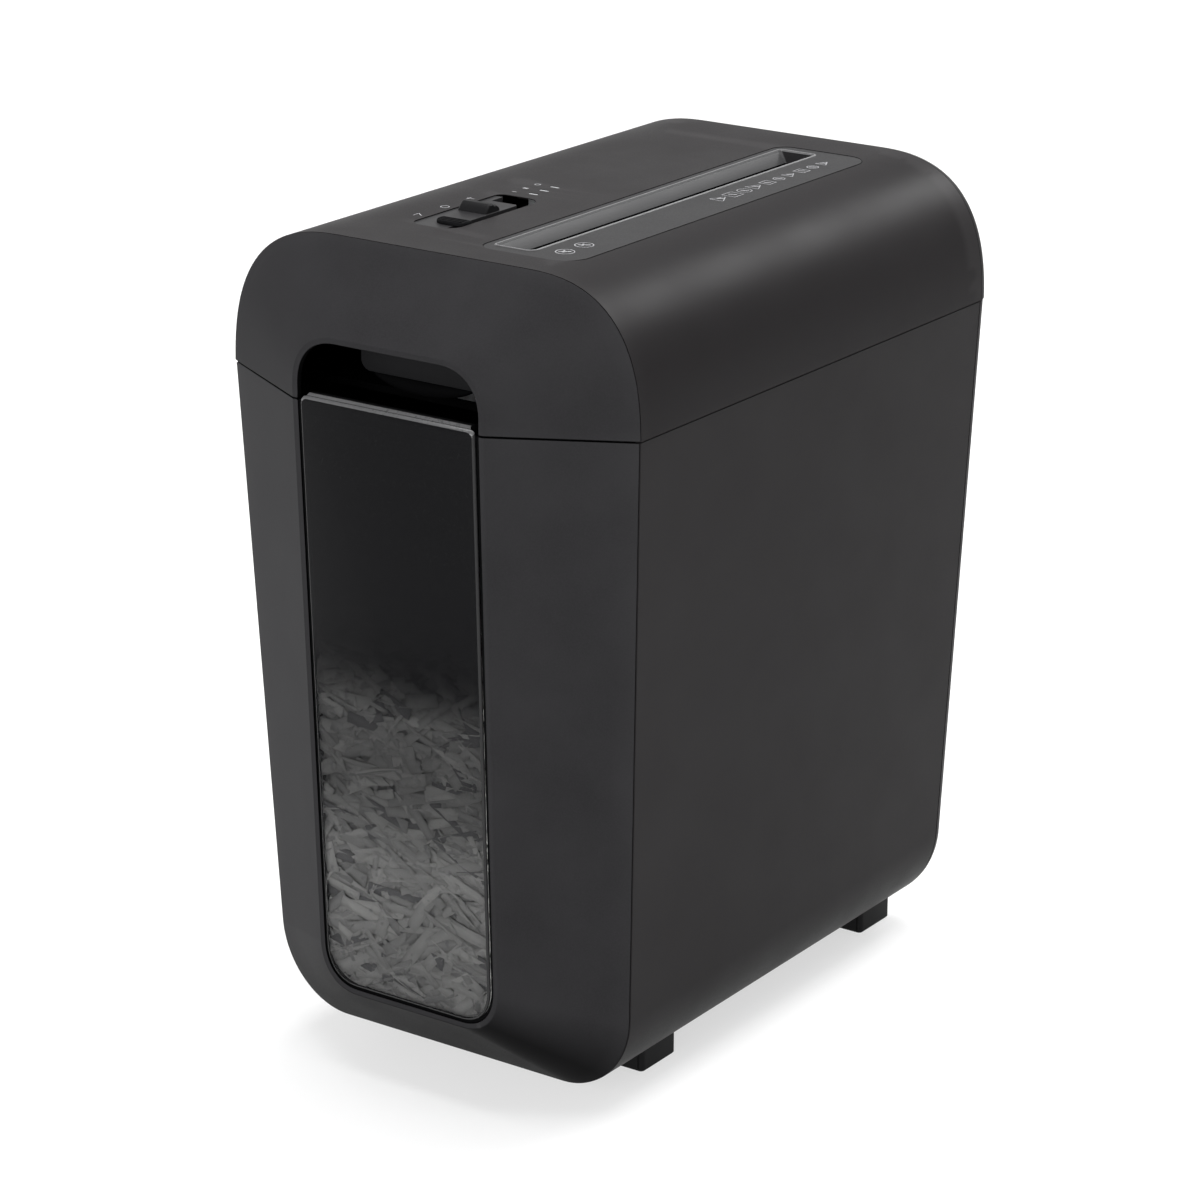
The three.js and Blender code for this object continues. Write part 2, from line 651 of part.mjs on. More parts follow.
function headBaseTray() {
  const chute = [AXIS_A.x - TRAY.chute, AXIS_B.x + TRAY.chute];
  const { half, upstand: high } = TRAY;
  const ys = [PLATE.front - 3, PLATE.rear - 1.5];
  const upstand = (side) => {
    const xs = side > 0 ? [half - WALL, half] : [-half, WALL - half];
    return box(xs, ys, [TRAY_Z, TRAY_Z + high]);
  };
  return cut(
    join(box([-half, half], ys, [TRAY_Z, TRAY_Z + WALL]), upstand(-1), upstand(1)),
    box(chute, [SLOT.y0 + 2, SLOT.y1 - 2], [TRAY_Z - 2, TRAY_Z + WALL + 2]),
  );
}

// ---------------------------------------------------------------- motor

const MOTOR = { r: 24, bore: 20.5, cap: 3, nose: 6, y0: 45, y1: PLATE.rear - PLATE.thick / 2 - GAP };
const MOTOR_FOOT = { half: 18, inset: 8, top: 330 };
const ROTOR = { shaft: 2.5, front: 26, core: 16, coreY: [58, 104], commutator: 9, commutatorY: [106, 114] };
const FAN = { hub: 7, blades: 7, pitch: 0.6, middle: 12.5, long: 15, wide: 8, thick: 1.4, y0: 30, y1: 40 };

function motorHousing() {
  const { r, bore, cap, nose, y0, y1 } = MOTOR;
  const { half, inset, top } = MOTOR_FOOT;
  const can = rod(MOTOR_AXIS, r, [y0, y1], 28);
  const xs = [MOTOR_AXIS.x - half, MOTOR_AXIS.x + half];
  const foot = box(xs, [y0 + inset, y1 - inset], [TRAY_Z + WALL + GAP, top]);
  const hollow = rod(MOTOR_AXIS, bore, [y0 + cap, y1 - cap], 24);
  return cut(join(can, foot), hollow, rod(MOTOR_AXIS, nose, [y0 - 2, y1 + 2], 16));
}

const motorRotor = () =>
  join(
    rod(MOTOR_AXIS, ROTOR.shaft, [ROTOR.front, GEAR_BAND.inner[1] + 0.5], 12),
    rod(MOTOR_AXIS, ROTOR.core, ROTOR.coreY, 20),
    rod(MOTOR_AXIS, ROTOR.commutator, ROTOR.commutatorY, 16),
  );

function coolingFan() {
  const { y0, y1 } = FAN;
  const hub = rod(MOTOR_AXIS, FAN.hub, [y0, y1], 16);
  const blades = Array.from({ length: FAN.blades }, (_, i) => {
    const blade = new THREE.BoxGeometry(FAN.long, FAN.wide, FAN.thick);
    blade.rotateX(FAN.pitch);
    blade.translate(FAN.middle, 0, 0);
    blade.rotateY((i / FAN.blades) * 2 * Math.PI);
    blade.translate(MOTOR_AXIS.x, (y0 + y1) / 2, MOTOR_AXIS.z);
    return solidOf(blade);
  });
  return cut(join(hub, ...blades), rod(MOTOR_AXIS, ROTOR.shaft + GAP, [y0 - 5, y1 + 5], 12));
}

// ---------------------------------------------------------------- controls

const SLIDER = { x0: -41, x1: -11.5, y0: -100, y1: -39.6, z: 377.3, thick: 2, reverse: 15.5, on: 18 };
const KNOB = { x0: -36, x1: -20.6, y0: -63.3, y1: -51.5, top: 385.4, lean: 3.3 };
const LOCK = { x0: -31, x1: -15.2, y0: -87.5, y1: -79.5, top: 382.3 };
const SWITCH = { x: -27, y0: -88, y1: -26, z0: 353, z1: 370.5, half: 10, slot: 4 };
const RIDE_Z = SLIDER.z + SLIDER.thick + GAP; // underside of what sits on the slider plate

function sliderPlate() {
  const { z, thick, x0, x1, y0, y1 } = SLIDER;
  const middle = (KNOB.y0 + KNOB.y1) / 2;
  const stem = box([SWITCH.x - 2, SWITCH.x + 2], [middle - 3, middle + 3], [z - 9.4, z + 1]);
  return join(box([x0, x1], [y0, y1], [z, z + thick]), stem);
}

function sliderKnob() {
  const { y0, y1, top, lean } = KNOB;
  const profile = [
    [y0, RIDE_Z],
    [y1, RIDE_Z],
    [y1, RIDE_Z + 3.2],
    [y1 - 2.6, top - 1],
    [y1 - 4.4, top - 1],
    [y1 - 4.9, top],
    [y0 + lean, top],
  ];
  return alongX(profile, [KNOB.x0, KNOB.x1]);
}

// A ribbed tab over the slider plate, with a tongue under the head cover.
function lockTab() {
  const { x0, x1, y0, y1, top } = LOCK;
  const body = box([x0, x1], [y0, y1], [RIDE_Z, top]);
  const tongue = box([x1 - 1, x1 + 4], [y0, y1], [RIDE_Z, TOP_Z - POCKET.skin - GAP]);
  const groove = (y) => box([x0 - 1, x1 + 1], [y, y + 1], [top - 0.9, top + 1]);
  return cut(join(body, tongue), groove(y0 + 1.8), groove(y0 + 4), groove(y0 + 6.2));
}

const controlSwitchBody = () =>
  cut(
    box([SWITCH.x - SWITCH.half, SWITCH.x + SWITCH.half], [SWITCH.y0, SWITCH.y1], [SWITCH.z0, SWITCH.z1]),
    box(
      [SWITCH.x - SWITCH.slot, SWITCH.x + SWITCH.slot],
      [SWITCH.y0 + 4, SWITCH.y1 - 4],
      [SWITCH.z1 - 5.5, SWITCH.z1 + 1.5],
    ),
  );

const BOARD = { x0: -92, x1: -12, y0: -96, y1: 20, z: 350, thick: 1.6 };
const CAPACITOR = { x0: -84, x1: -62, y0: -70, y1: -56, high: 14 };
const controlBoard = () => box([BOARD.x0, BOARD.x1], [BOARD.y0, BOARD.y1], [BOARD.z, BOARD.z + BOARD.thick]);

function boardCapacitor() {
  const { x0, x1, y0, y1, high } = CAPACITOR;
  const foot = BOARD.z + BOARD.thick + 0.4;
  return box([x0, x1], [y0, y1], [foot, foot + high]);
}

// Three pads on one moulding under the head cover.
function indicatorLightPipe() {
  const last = LIGHTS.y0 + (LIGHTS.count - 1) * LIGHTS.pitch;
  const bar = box([LIGHTS.x - 5, LIGHTS.x + 5], [LIGHTS.y0 - 3, last + 3], [373.5, 376.5]);
  return join(bar, ...lightPads(0, [376, TOP_Z]));
}

// ---------------------------------------------------------------- bin

function binTub() {
  const { half, top, r, wall, front, rear } = TUB;
  const floor = BIN_TRAVEL_FLOOR_Z;
  const outer = alongY(troughLoop(half, half, top, floor, r), [front, rear]);
  const inner = troughLoop(half - wall, half - wall, top + 1, floor + wall, r - wall);
  const mouth = troughLoop(72, 72, top + 1, floor + 22, 22);
  return taper(
    cut(outer, alongY(inner, [front + wall, rear - wall]), alongY(mouth, [front - 1, front + wall + 1])),
  );
}

const lensOutline = (grow, z1) => openingTrough(grow - LENS_GAP, z1);

const LENS = { face: FRONT_Y + 0.2, back: FRONT_Y + 6, top: SEAM_Z + 3.2, bevel: 4 };

// A thick pane whose top edge slopes back, with a thin flange behind the frame.
function windowLens() {
  const { face, back, top, bevel } = LENS;
  const pane = alongY(lensOutline(0, top), [face, back]);
  const flange = alongY(lensOutline(6, SEAM_Z - 12), [back - 0.2, back + 2]);
  const slope = [[face - 1, top - 2.9], [face + bevel, top], [face + bevel, top + 1], [face - 1, top + 1]];
  return taper(cut(join(pane, flange), alongX(slope, [-60, 60])));
}

// The lip that fingers pull, with its rear edge turned down.
function handleLip() {
  const [front, rear] = [LENS.back + GAP, LENS.back + 9];
  const [z0, z1] = [308, SEAM_Z - 0.6];
  const thick = 2.5;
  const profile = [
    [front, z1 - thick],
    [rear - thick, z1 - thick],
    [rear - thick, z0],
    [rear, z0],
    [rear, z1],
    [front, z1],
  ];
  return alongX(profile, [-OPENING.half + 3, OPENING.half - 3]);
}

const RAIL = { inner: 42, outer: 50, y0: -116, y1: 138 };

function binRail(side) {
  const xs = side > 0 ? [RAIL.inner, RAIL.outer] : [-RAIL.outer, -RAIL.inner];
  return box(xs, [RAIL.y0, RAIL.y1], [BELLY_Z + WALL + GAP, BIN_TRAVEL_FLOOR_Z - GAP]);
}

// ---------------------------------------------------------------- interlock

const INTERLOCK = { x: 62, z: 292 };
const tubRearY = TUB.rear - DRAFT_REAR * (SEAM_Z - INTERLOCK.z);

const interlockSwitchBody = () =>
  cut(
    box([INTERLOCK.x - 6, INTERLOCK.x + 6], [143.5, 153], [INTERLOCK.z - 8, INTERLOCK.z + 8]),
    rod(INTERLOCK, 2.5 + GAP, [140, 150.5], 12),
  );
const interlockPlunger = () =>
  join(
    rod(INTERLOCK, 2.5, [tubRearY + 0.5, 148], 12),
    rod(INTERLOCK, 3.6, [tubRearY + 0.5, tubRearY + 3], 12),
  );

// ---------------------------------------------------------------- assembly

add("head_cover", headCover(), MATERIALS.casing);
add("head_front_fascia", headFrontFascia(), MATERIALS.front);
add("head_rear_cover", headRearCover(), MATERIALS.casing);
add("paper_entry_bezel", paperEntryBezel(), MATERIALS.bezel);
add("head_base_tray", headBaseTray(), MATERIALS.black);
add("cutter_guard", cutterGuard(), MATERIALS.black);
add("cabinet_shell", cabinetShell(), MATERIALS.casing);
add("cabinet_rear_panel", cabinetRearPanel(), MATERIALS.casing);
for (const [side, sign] of [["left", -1], ["right", 1]]) {
  add(`foot_front_${side}`, foot(sign, FOOT.frontY), MATERIALS.rubber);
  add(`foot_rear_${side}`, foot(sign, FOOT.rearY), MATERIALS.rubber);
  add(`bin_rail_${side}`, binRail(sign), MATERIALS.black);
}
screwPlaces.forEach((place, i) => {
  const y = rearFaceY(place.z);
  add(`rear_screw_${i + 1}`, rod(place, SCREW.r, [y - 6, y - 0.5], 12), MATERIALS.steel);
});
const glandRing = cut(
  rod(GLAND, GLAND_R, [REAR_Y - 7, REAR_Y - 0.2]),
  rod(GLAND, 3.6, [REAR_Y - 9, REAR_Y + 1]),
);
add("cord_gland", glandRing, MATERIALS.rubber);

add("cutter_end_plate_front", endPlateFront(), MATERIALS.steel);
add("cutter_end_plate_rear", endPlateRear(), MATERIALS.steel);
for (const [place, at] of Object.entries(tieRodPlaces)) add(`tie_rod_${place}`, tieRod(at), MATERIALS.steel);
add("stripper_comb_left", stripperComb(AXIS_A, -1, FIRST_DISC_A), MATERIALS.black);
add("stripper_comb_right", stripperComb(AXIS_B, 1, FIRST_DISC_B), MATERIALS.black);
for (const [name, axis] of [["a", AXIS_A], ["b", AXIS_B]]) {
  add(`bushing_front_${name}`, bushing(axis, PLATE.front), MATERIALS.brass);
  add(`bushing_rear_${name}`, bushing(axis, PLATE.rear), MATERIALS.brass);
}
add("gear_cover", gearCover(), MATERIALS.black);
add("gear_axle_first", gearAxle(AXIS_1), MATERIALS.steel);
add("gear_axle_second", gearAxle(AXIS_2), MATERIALS.steel);
add("motor_housing", motorHousing(), MATERIALS.steel);
add("control_board", controlBoard(), MATERIALS.board);
add("board_capacitor", boardCapacitor(), MATERIALS.light);
add("control_switch_body", controlSwitchBody(), MATERIALS.black);
add("indicator_light_pipe", indicatorLightPipe(), MATERIALS.light);
add("interlock_switch_body", interlockSwitchBody(), MATERIALS.black);

add("bin_tub", binTub(), MATERIALS.black);
add("bin_front_panel", binFrontPanel(), MATERIALS.front);
add("window_lens", windowLens(), MATERIALS.smoked);
add("handle_lip", handleLip(), MATERIALS.black);

add("slider_plate", sliderPlate(), MATERIALS.bezel);
add("slider_knob", sliderKnob(), MATERIALS.black);
add("lock_tab", lockTab(), MATERIALS.black);

const shaftBore = CUTTER.journal + GAP;
const { inner: innerBand, middle: middleBand } = GEAR_BAND;
add("cutter_roll_a", cutterRoll(AXIS_A, FIRST_DISC_A, middleBand[1] + 0.4), MATERIALS.cutterSteel);
add("cutter_roll_b", cutterRoll(AXIS_B, FIRST_DISC_B, innerBand[1] + 0.4), MATERIALS.cutterSteel);
const syncGear = (axis, phase) => gear(axis, MODULE.sync, TEETH.sync, phase, innerBand, shaftBore);
add("sync_gear_a", syncGear(AXIS_A, PHASE_A), MATERIALS.steel);
add("sync_gear_b", syncGear(AXIS_B, phaseSyncB), MATERIALS.steel);
const finalGear = gear(AXIS_A, MODULE.final, TEETH.final, PHASE_A, middleBand, shaftBore);
add("final_drive_gear", finalGear, MATERIALS.nylon);
add("reduction_gear_first", reductionGearFirst(), MATERIALS.nylon);
add("reduction_gear_second", reductionGearSecond(), MATERIALS.nylon);
add("motor_rotor", motorRotor(), MATERIALS.steel);
const pinionBore = ROTOR.shaft + GAP;
const motorPinion = gear(MOTOR_AXIS, MODULE.first, TEETH.pinion, phaseMotorPinion, innerBand, pinionBore);
add("motor_pinion", motorPinion, MATERIALS.brass);
add("cooling_fan", coolingFan(), MATERIALS.nylon);
add("paper_lever", paperLever(), MATERIALS.black);
add("interlock_plunger", interlockPlunger(), MATERIALS.light);

export default group;
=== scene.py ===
"""A cross-cut paper shredder's looks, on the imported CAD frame.

Shapes are worked in millimetres: x runs across, y from the front (negative) to the back, z up from the floor.
"""

import math
import random

import bmesh
import bpy
import numpy as np
from mathutils import Matrix, Vector


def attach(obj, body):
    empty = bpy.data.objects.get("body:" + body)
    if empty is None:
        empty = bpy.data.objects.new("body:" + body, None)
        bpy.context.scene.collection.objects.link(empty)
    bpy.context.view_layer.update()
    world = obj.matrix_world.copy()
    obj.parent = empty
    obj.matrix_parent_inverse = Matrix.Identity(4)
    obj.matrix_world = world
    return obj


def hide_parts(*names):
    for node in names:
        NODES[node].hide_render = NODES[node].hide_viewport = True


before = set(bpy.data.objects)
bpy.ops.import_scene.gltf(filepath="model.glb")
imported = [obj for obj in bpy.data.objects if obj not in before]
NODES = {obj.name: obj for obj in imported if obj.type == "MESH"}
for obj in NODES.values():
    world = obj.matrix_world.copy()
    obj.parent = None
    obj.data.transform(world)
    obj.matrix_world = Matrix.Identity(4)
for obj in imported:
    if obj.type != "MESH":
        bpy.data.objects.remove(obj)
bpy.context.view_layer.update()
MM = 0.001

# ------------------------------------------------------------------ dimensions

# As in the CAD, whose own front ends at y -160.
WALL, GAP = 3.0, 0.3
FRONT_Y, SKIN_FRONT_Y, SKIN_REAR_Y, REAR_Y = -161.2, -130.0, 152.0, 160.0
TOP_Z, SEAM_Z, BELLY_Z = 382.0, 317.0, 10.5
HEAD_HALF, CABINET_HALF, HEEL_R, REAR_CROWN = 107.5, 106.9, 39.0, 8.0
SHOULDER = (60.0, 70.0, 2.65)  # across, down, and the curve's power
DRAFT_SIDE, DRAFT_FRONT, DRAFT_REAR = 0.038, 0.041, 0.023  # drawn in per millimetre below the seam
OPEN_HALF, OPEN_HALF_LOW, OPEN_TOP, OPEN_BOTTOM = 47.6, 51.1, 344.0, 43.0
OPEN_R_TOP, OPEN_R_BOTTOM, OPEN_POWER = 21.0, 20.0, 2.3
SLOT_X, SLOT_Y0, SLOT_Y1 = 25.25, -104.3, 120.7
ENTRY_TOP = TOP_Z - 0.2

# Of the visible model alone.
RIM = 2.5  # the flat edge round the front's opening
LENS_FACE, LENS_GAP, PANE = FRONT_Y - 0.8, 1.8, 1.5
COVER_THIN_Z = 381.65  # the underside of the cover where the control slides under it
STEPS = 36  # round a large corner


# ------------------------------------------------------------------ materials

MIX_A, MIX_B, MIX_RESULT = 6, 7, 2  # the colour sockets of a Mix node
GRAIN_HEIGHT = 0.00008  # metres
ROUGH_SPREAD = 0.06
UNDERSIDE_SHADE = (-0.45, -0.08)  # the normal's z where the painted underside shade is full, and where it starts
EDGE_POINTINESS = (0.51, 0.58)  # where wear starts, and where it is full


def nodes_of(name):
    """A new material with a Principled shader and a source of coordinates."""
    m = bpy.data.materials.new(name)
    m.use_nodes = True
    tree = m.node_tree
    tree.nodes.clear()
    out = tree.nodes.new("ShaderNodeOutputMaterial")
    bsdf = tree.nodes.new("ShaderNodeBsdfPrincipled")
    tree.links.new(bsdf.outputs[0], out.inputs[0])
    coords = tree.nodes.new("ShaderNodeTexCoord")
    return m, tree, bsdf, coords


def noise(tree, coords, scale, detail=3.0, stretch=None):
    source = coords.outputs["Object"]
    if stretch:
        mapping = tree.nodes.new("ShaderNodeMapping")
        mapping.inputs["Scale"].default_value = stretch
        tree.links.new(source, mapping.inputs[0])
        source = mapping.outputs[0]
    n = tree.nodes.new("ShaderNodeTexNoise")
    n.inputs["Scale"].default_value = scale
    n.inputs["Detail"].default_value = detail
    tree.links.new(source, n.inputs["Vector"])
    return n.outputs[0]


def ramp(tree, fac, low, high, lo_at=0.3, hi_at=0.7):
    r = tree.nodes.new("ShaderNodeMapRange")
    r.inputs["From Min"].default_value = lo_at
    r.inputs["From Max"].default_value = hi_at
    r.inputs["To Min"].default_value = low
    r.inputs["To Max"].default_value = high
    tree.links.new(fac, r.inputs[0])
    return r.outputs[0]


def mix(tree, fac, a, b):
    """From a to b, each a colour or a socket."""
    m = tree.nodes.new("ShaderNodeMix")
    m.data_type = "RGBA"
    for key, value in ((MIX_A, a), (MIX_B, b)):
        if isinstance(value, (tuple, list)):
            m.inputs[key].default_value = (*value, 1.0)
        else:
            tree.links.new(value, m.inputs[key])
    tree.links.new(fac, m.inputs[0])
    return m.outputs[MIX_RESULT]


def bumped(tree, bsdf, height, strength, distance):
    b = tree.nodes.new("ShaderNodeBump")
    b.inputs["Strength"].default_value = strength
    b.inputs["Distance"].default_value = distance
    tree.links.new(height, b.inputs["Height"])
    tree.links.new(b.outputs[0], bsdf.inputs["Normal"])


def scaled(color, k, plus=0.0):
    return tuple(min(1.0, c * k + plus) for c in color)


def surface(
    name, color, rough, metal=0.0, grain=1400.0, bump=0.1, vary=0.1, stretch=None, spec=0.5, wear=0.0, painted_underside=1.0
):
    """Fine grain, uneven roughness, a slow change of tone, lighter worn edges and painted shade on the underside."""
    m, tree, bsdf, coords = nodes_of(name)
    fine = noise(tree, coords, grain, 4.0, stretch)
    slow = noise(tree, coords, 28.0, 3.0)
    tone = mix(tree, ramp(tree, slow, 0.0, 1.0), scaled(color, 1 - vary), scaled(color, 1 + vary))
    tone = mix(tree, ramp(tree, fine, 0.0, 0.35, 0.35, 0.75), tone, scaled(color, 1.5))
    geo = tree.nodes.new("ShaderNodeNewGeometry")
    # Painted shade: faces that look downwards get a darker base colour.
    if painted_underside < 1:
        facing = tree.nodes.new("ShaderNodeSeparateXYZ")
        tree.links.new(geo.outputs["Normal"], facing.inputs[0])
        tone = mix(tree, ramp(tree, facing.outputs[2], 1.0, 0.0, *UNDERSIDE_SHADE), tone, scaled(color, painted_underside))
    if wear:
        worn = ramp(tree, geo.outputs["Pointiness"], 0.0, wear, *EDGE_POINTINESS)
        tone = mix(tree, worn, tone, scaled(color, 2.5, 0.04))
    tree.links.new(tone, bsdf.inputs["Base Color"])
    rough_in = tree.nodes.new("ShaderNodeMath")
    rough_in.operation = "ADD"
    tree.links.new(ramp(tree, slow, rough - ROUGH_SPREAD, rough), rough_in.inputs[0])
    tree.links.new(ramp(tree, fine, 0.0, ROUGH_SPREAD), rough_in.inputs[1])
    tree.links.new(rough_in.outputs[0], bsdf.inputs["Roughness"])
    bsdf.inputs["Metallic"].default_value = metal
    bsdf.inputs["Specular IOR Level"].default_value = spec
    bumped(tree, bsdf, fine, bump, GRAIN_HEIGHT)
    return m


# The casing and the front get painted shade on their undersides.
CASING = surface("casing_plastic", (0.0066, 0.0057, 0.0062), 0.46, wear=0.12, spec=0.068, painted_underside=0.25)
FRONT = surface("front_plastic", (0.0180, 0.0177, 0.0188), 0.44, wear=0.12, spec=0.02, painted_underside=0.2)
BEZEL = surface("bezel_plastic", (0.0095, 0.0092, 0.0099), 0.40, wear=0.15, spec=0.08)
# A lighter grey for the slot funnel's sloped left wall.
SLOPE_GREY = surface(
    "slot_slope_grey",
    (0.041, 0.041, 0.042),
    0.42,
    metal=0.04,
    spec=0.06,
    grain=900,
    stretch=(1, 0.05, 1),
    bump=0.04,
    vary=0.05,
)
BLACK = surface("black_plastic", (0.0032, 0.0032, 0.0036), 0.5, wear=0.1, spec=0.004)
KNOB = surface("knob_plastic", (0.0062, 0.0062, 0.0066), 0.46, wear=0.1, spec=0.05)
GUARD = surface("guard_plastic", (0.0068, 0.0068, 0.0074), 0.5, spec=0.07)
# Near-black and almost unreflective: painted shade, put on faces inside openings and on parts that sit in shade.
PAINTED_SHADE = surface("painted_shade_plastic", (0.0026, 0.0026, 0.0028), 0.6, spec=0.003)
# A light colour painted as the highlight on the lens's top edge.
LENS_TOP_HIGHLIGHT = surface("lens_top_highlight", (0.075, 0.075, 0.077), 0.3, grain=900, spec=0.4)
POLISH = surface("lens_side_edge", (0.012, 0.012, 0.0125), 0.22, grain=900, spec=0.25)
LAMP = surface("lamp_pads", (0.2, 0.205, 0.21), 0.3, grain=900, spec=0.3)
# A light colour painted as the highlight on the rim of the slot's mouth.
MOUTH_HIGHLIGHT = surface("slot_mouth_highlight", (0.1, 0.1, 0.102), 0.34, grain=900, spec=0.4)
RUBBER = surface("rubber", (0.0042, 0.0042, 0.0046), 0.62, grain=2200, bump=0.2, spec=0.12)
STEEL = surface("zinc_steel", (0.55, 0.56, 0.57), 0.33, metal=1.0, grain=700, stretch=(1, 1, 0.08), bump=0.06)
CUTTER = surface("cutter_steel", (0.30, 0.31, 0.33), 0.28, metal=1.0, grain=900, stretch=(1, 0.1, 1), bump=0.08)
NYLON = surface("nylon", (0.68, 0.64, 0.55), 0.5, grain=800)
BRASS = surface("brass", (0.62, 0.44, 0.18), 0.34, metal=1.0, grain=900)
BOARD = surface("circuit_board", (0.02, 0.13, 0.05), 0.4, grain=500, vary=0.3)
PALE = surface("pale_plastic", (0.55, 0.57, 0.58), 0.3, grain=900)
PRINT = surface("printed_marks", (0.18, 0.18, 0.186), 0.5, grain=2500, spec=0.2)

LENS_SPAN = (0.06, 0.26)  # metres up the lens between which its density changes
LENS_DENSITY = (  # share of that span, and how much the lens hides there
    (0.0, 0.42),
    (0.15, 0.40),
    (0.26, 0.40),
    (0.38, 0.48),
    (0.48, 0.51),
    (0.6, 0.50),
    (0.7, 0.7),
    (0.8, 0.95),
    (1.0, 0.985),
)


def smoked_lens():
    """Polished smoked plastic: denser towards its top, faint dust and a little uneven gloss."""
    m, tree, bsdf, coords = nodes_of("smoked_lens")
    split = tree.nodes.new("ShaderNodeSeparateXYZ")
    tree.links.new(coords.outputs["Object"], split.inputs[0])
    height = ramp(tree, split.outputs[2], 0.0, 1.0, *LENS_SPAN)
    density = tree.nodes.new("ShaderNodeValToRGB")
    stops = density.color_ramp.elements
    for at, alpha in LENS_DENSITY:
        stop = stops[0] if at == 0.0 else stops[-1] if at == 1.0 else stops.new(at)
        stop.color = (alpha, alpha, alpha, 1)
    tree.links.new(height, density.inputs[0])
    tree.links.new(density.outputs[0], bsdf.inputs["Alpha"])
    slow = noise(tree, coords, 18.0, 3.0)
    dust = noise(tree, coords, 1600.0, 2.0)
    tone = mix(tree, ramp(tree, dust, 0.0, 1.0, 0.66, 0.74), (0.004, 0.004, 0.0045), (0.014, 0.014, 0.014))
    tree.links.new(tone, bsdf.inputs["Base Color"])
    tree.links.new(ramp(tree, slow, 0.06, 0.12), bsdf.inputs["Roughness"])
    bsdf.inputs["Specular IOR Level"].default_value = 0.06
    bumped(tree, bsdf, slow, 0.02, 0.0002)
    return m


def shredded_paper():
    """Matt paper whose tone comes from each strip's own value, partly painted shadow, with a little fibre and print.
    """
    m, tree, bsdf, coords = nodes_of("shredded_paper")
    tone_and_shadow = tree.nodes.new("ShaderNodeAttribute")
    tone_and_shadow.attribute_name = "tone_and_shadow"
    fibre = noise(tree, coords, 1500.0, 4.0)
    ink = noise(tree, coords, 260.0, 2.0)
    tone = mix(tree, tone_and_shadow.outputs["Fac"], (0.26, 0.26, 0.27), (0.86, 0.86, 0.84))
    tone = mix(tree, ramp(tree, ink, 0.0, 0.5, 0.62, 0.7), tone, (0.3, 0.3, 0.32))
    tree.links.new(tone, bsdf.inputs["Base Color"])
    tree.links.new(ramp(tree, fibre, 0.7, 0.9), bsdf.inputs["Roughness"])
    bumped(tree, bsdf, fibre, 0.2, 0.0001)
    return m


LENS = smoked_lens()
PAPER = shredded_paper()


# ------------------------------------------------------------------ outlines


def bend(value, power):
    return math.copysign(abs(value) ** (2 / power), value)


def corner(cx, cz, a, b, power, t0, t1, steps):
    """Part of a superellipse's outline, from t0 to t1 quarter turns."""
    points = []
    for i in range(steps + 1):
        t = (t0 + (t1 - t0) * i / steps) * math.pi / 2
        c, s = math.cos(t), math.sin(t)
        c = 0.0 if abs(c) < 1e-9 else c
        s = 0.0 if abs(s) < 1e-9 else s
        points.append((cx + a * bend(c, power), cz + b * bend(s, power)))
    return points


def arch(half, z0, top, across, down, power):
    """From the right foot over the top to the left foot."""
    centre = top - down
    rise = max(0.0, (z0 - centre) / down)
    start = math.asin(rise ** (power / 2)) / (math.pi / 2)
    foot = [] if rise > 0 else [(half, z0)]
    right = foot + corner(half - across, centre, across, down, power, start, 1, STEPS + 1 - len(foot))
    return right + [(-x, z) for x, z in reversed(right)]


def trough(half, half_low, z1, bottom, r, power=2.0):
    """From the top left round the bottom to the top right."""
    left = corner(-half_low + r, bottom + r, r, r, power, 2, 3, STEPS)
    return [(-half, z1), *left, *[(-x, z) for x, z in reversed(left)], (half, z1)]


def eased(loop, r):
    """A trough whose two top corners are rounded."""
    x, z = loop[-1]
    turns = (math.pi / 2, math.pi / 3, math.pi / 6, 0)
    ease = [(x - r * (1 - math.sin(t)), z - r * (1 - math.cos(t))) for t in turns]
    return [*[(-a, b) for a, b in reversed(ease)], *loop[1:-1], *ease]


def rounded(x0, x1, y0, y1, r, steps=6):
    """A rectangle with one corner radius, or with a radius for each corner from the upper right round."""
    a, b, c, d = (r,) * 4 if isinstance(r, (int, float)) else r
    return [
        *corner(x1 - a, y1 - a, a, a, 2, 0, 1, steps),
        *corner(x0 + b, y1 - b, b, b, 2, 1, 2, steps),
        *corner(x0 + c, y0 + c, c, c, 2, 2, 3, steps),
        *corner(x1 - d, y0 + d, d, d, 2, 3, 4, steps),
    ]


def head_loop(inset, z0=SEAM_Z + GAP):
    across, down, power = SHOULDER
    return arch(HEAD_HALF - inset, z0, TOP_Z - inset, across - inset, down - inset, power)


def cabinet_loop(inset, z1=SEAM_Z - GAP):
    return trough(CABINET_HALF - inset, CABINET_HALF - inset, z1, BELLY_Z + inset, HEEL_R - inset)


def opening_arch(grow):
    r = OPEN_R_TOP + grow
    return arch(OPEN_HALF + grow, SEAM_Z + GAP, OPEN_TOP + grow, r, r, OPEN_POWER)


def opening_trough(grow, z1=SEAM_Z - GAP):
    r = OPEN_R_BOTTOM + grow
    return trough(OPEN_HALF + grow, OPEN_HALF_LOW + grow, z1, OPEN_BOTTOM - grow, r, OPEN_POWER)


def at_y(loop, y):
    return [(x, y, z) for x, z in loop]


def at_z(loop, z):
    return [(x, y, z) for x, y in loop]


def taper(points):
    """The cabinet and the bin draw in below the seam."""
    p = np.array(points, float)
    below = np.clip(SEAM_Z - p[..., 2], 0, None)
    share = np.clip((p[..., 1] - SKIN_FRONT_Y) / (SKIN_REAR_Y - SKIN_FRONT_Y), 0, 1)
    p[..., 0] *= 1 - DRAFT_SIDE * below / CABINET_HALF
    p[..., 1] += below * (DRAFT_FRONT - (DRAFT_REAR + DRAFT_FRONT) * share)
    return [tuple(v) for v in p]


def between(a, b, steps):
    """Rings from a to b, the first and last among them."""
    return [
        [tuple(p + (q - p) * k / steps for p, q in zip(u, v)) for u, v in zip(a, b)]
        for k in range(steps + 1)
    ]


# ------------------------------------------------------------------ meshes


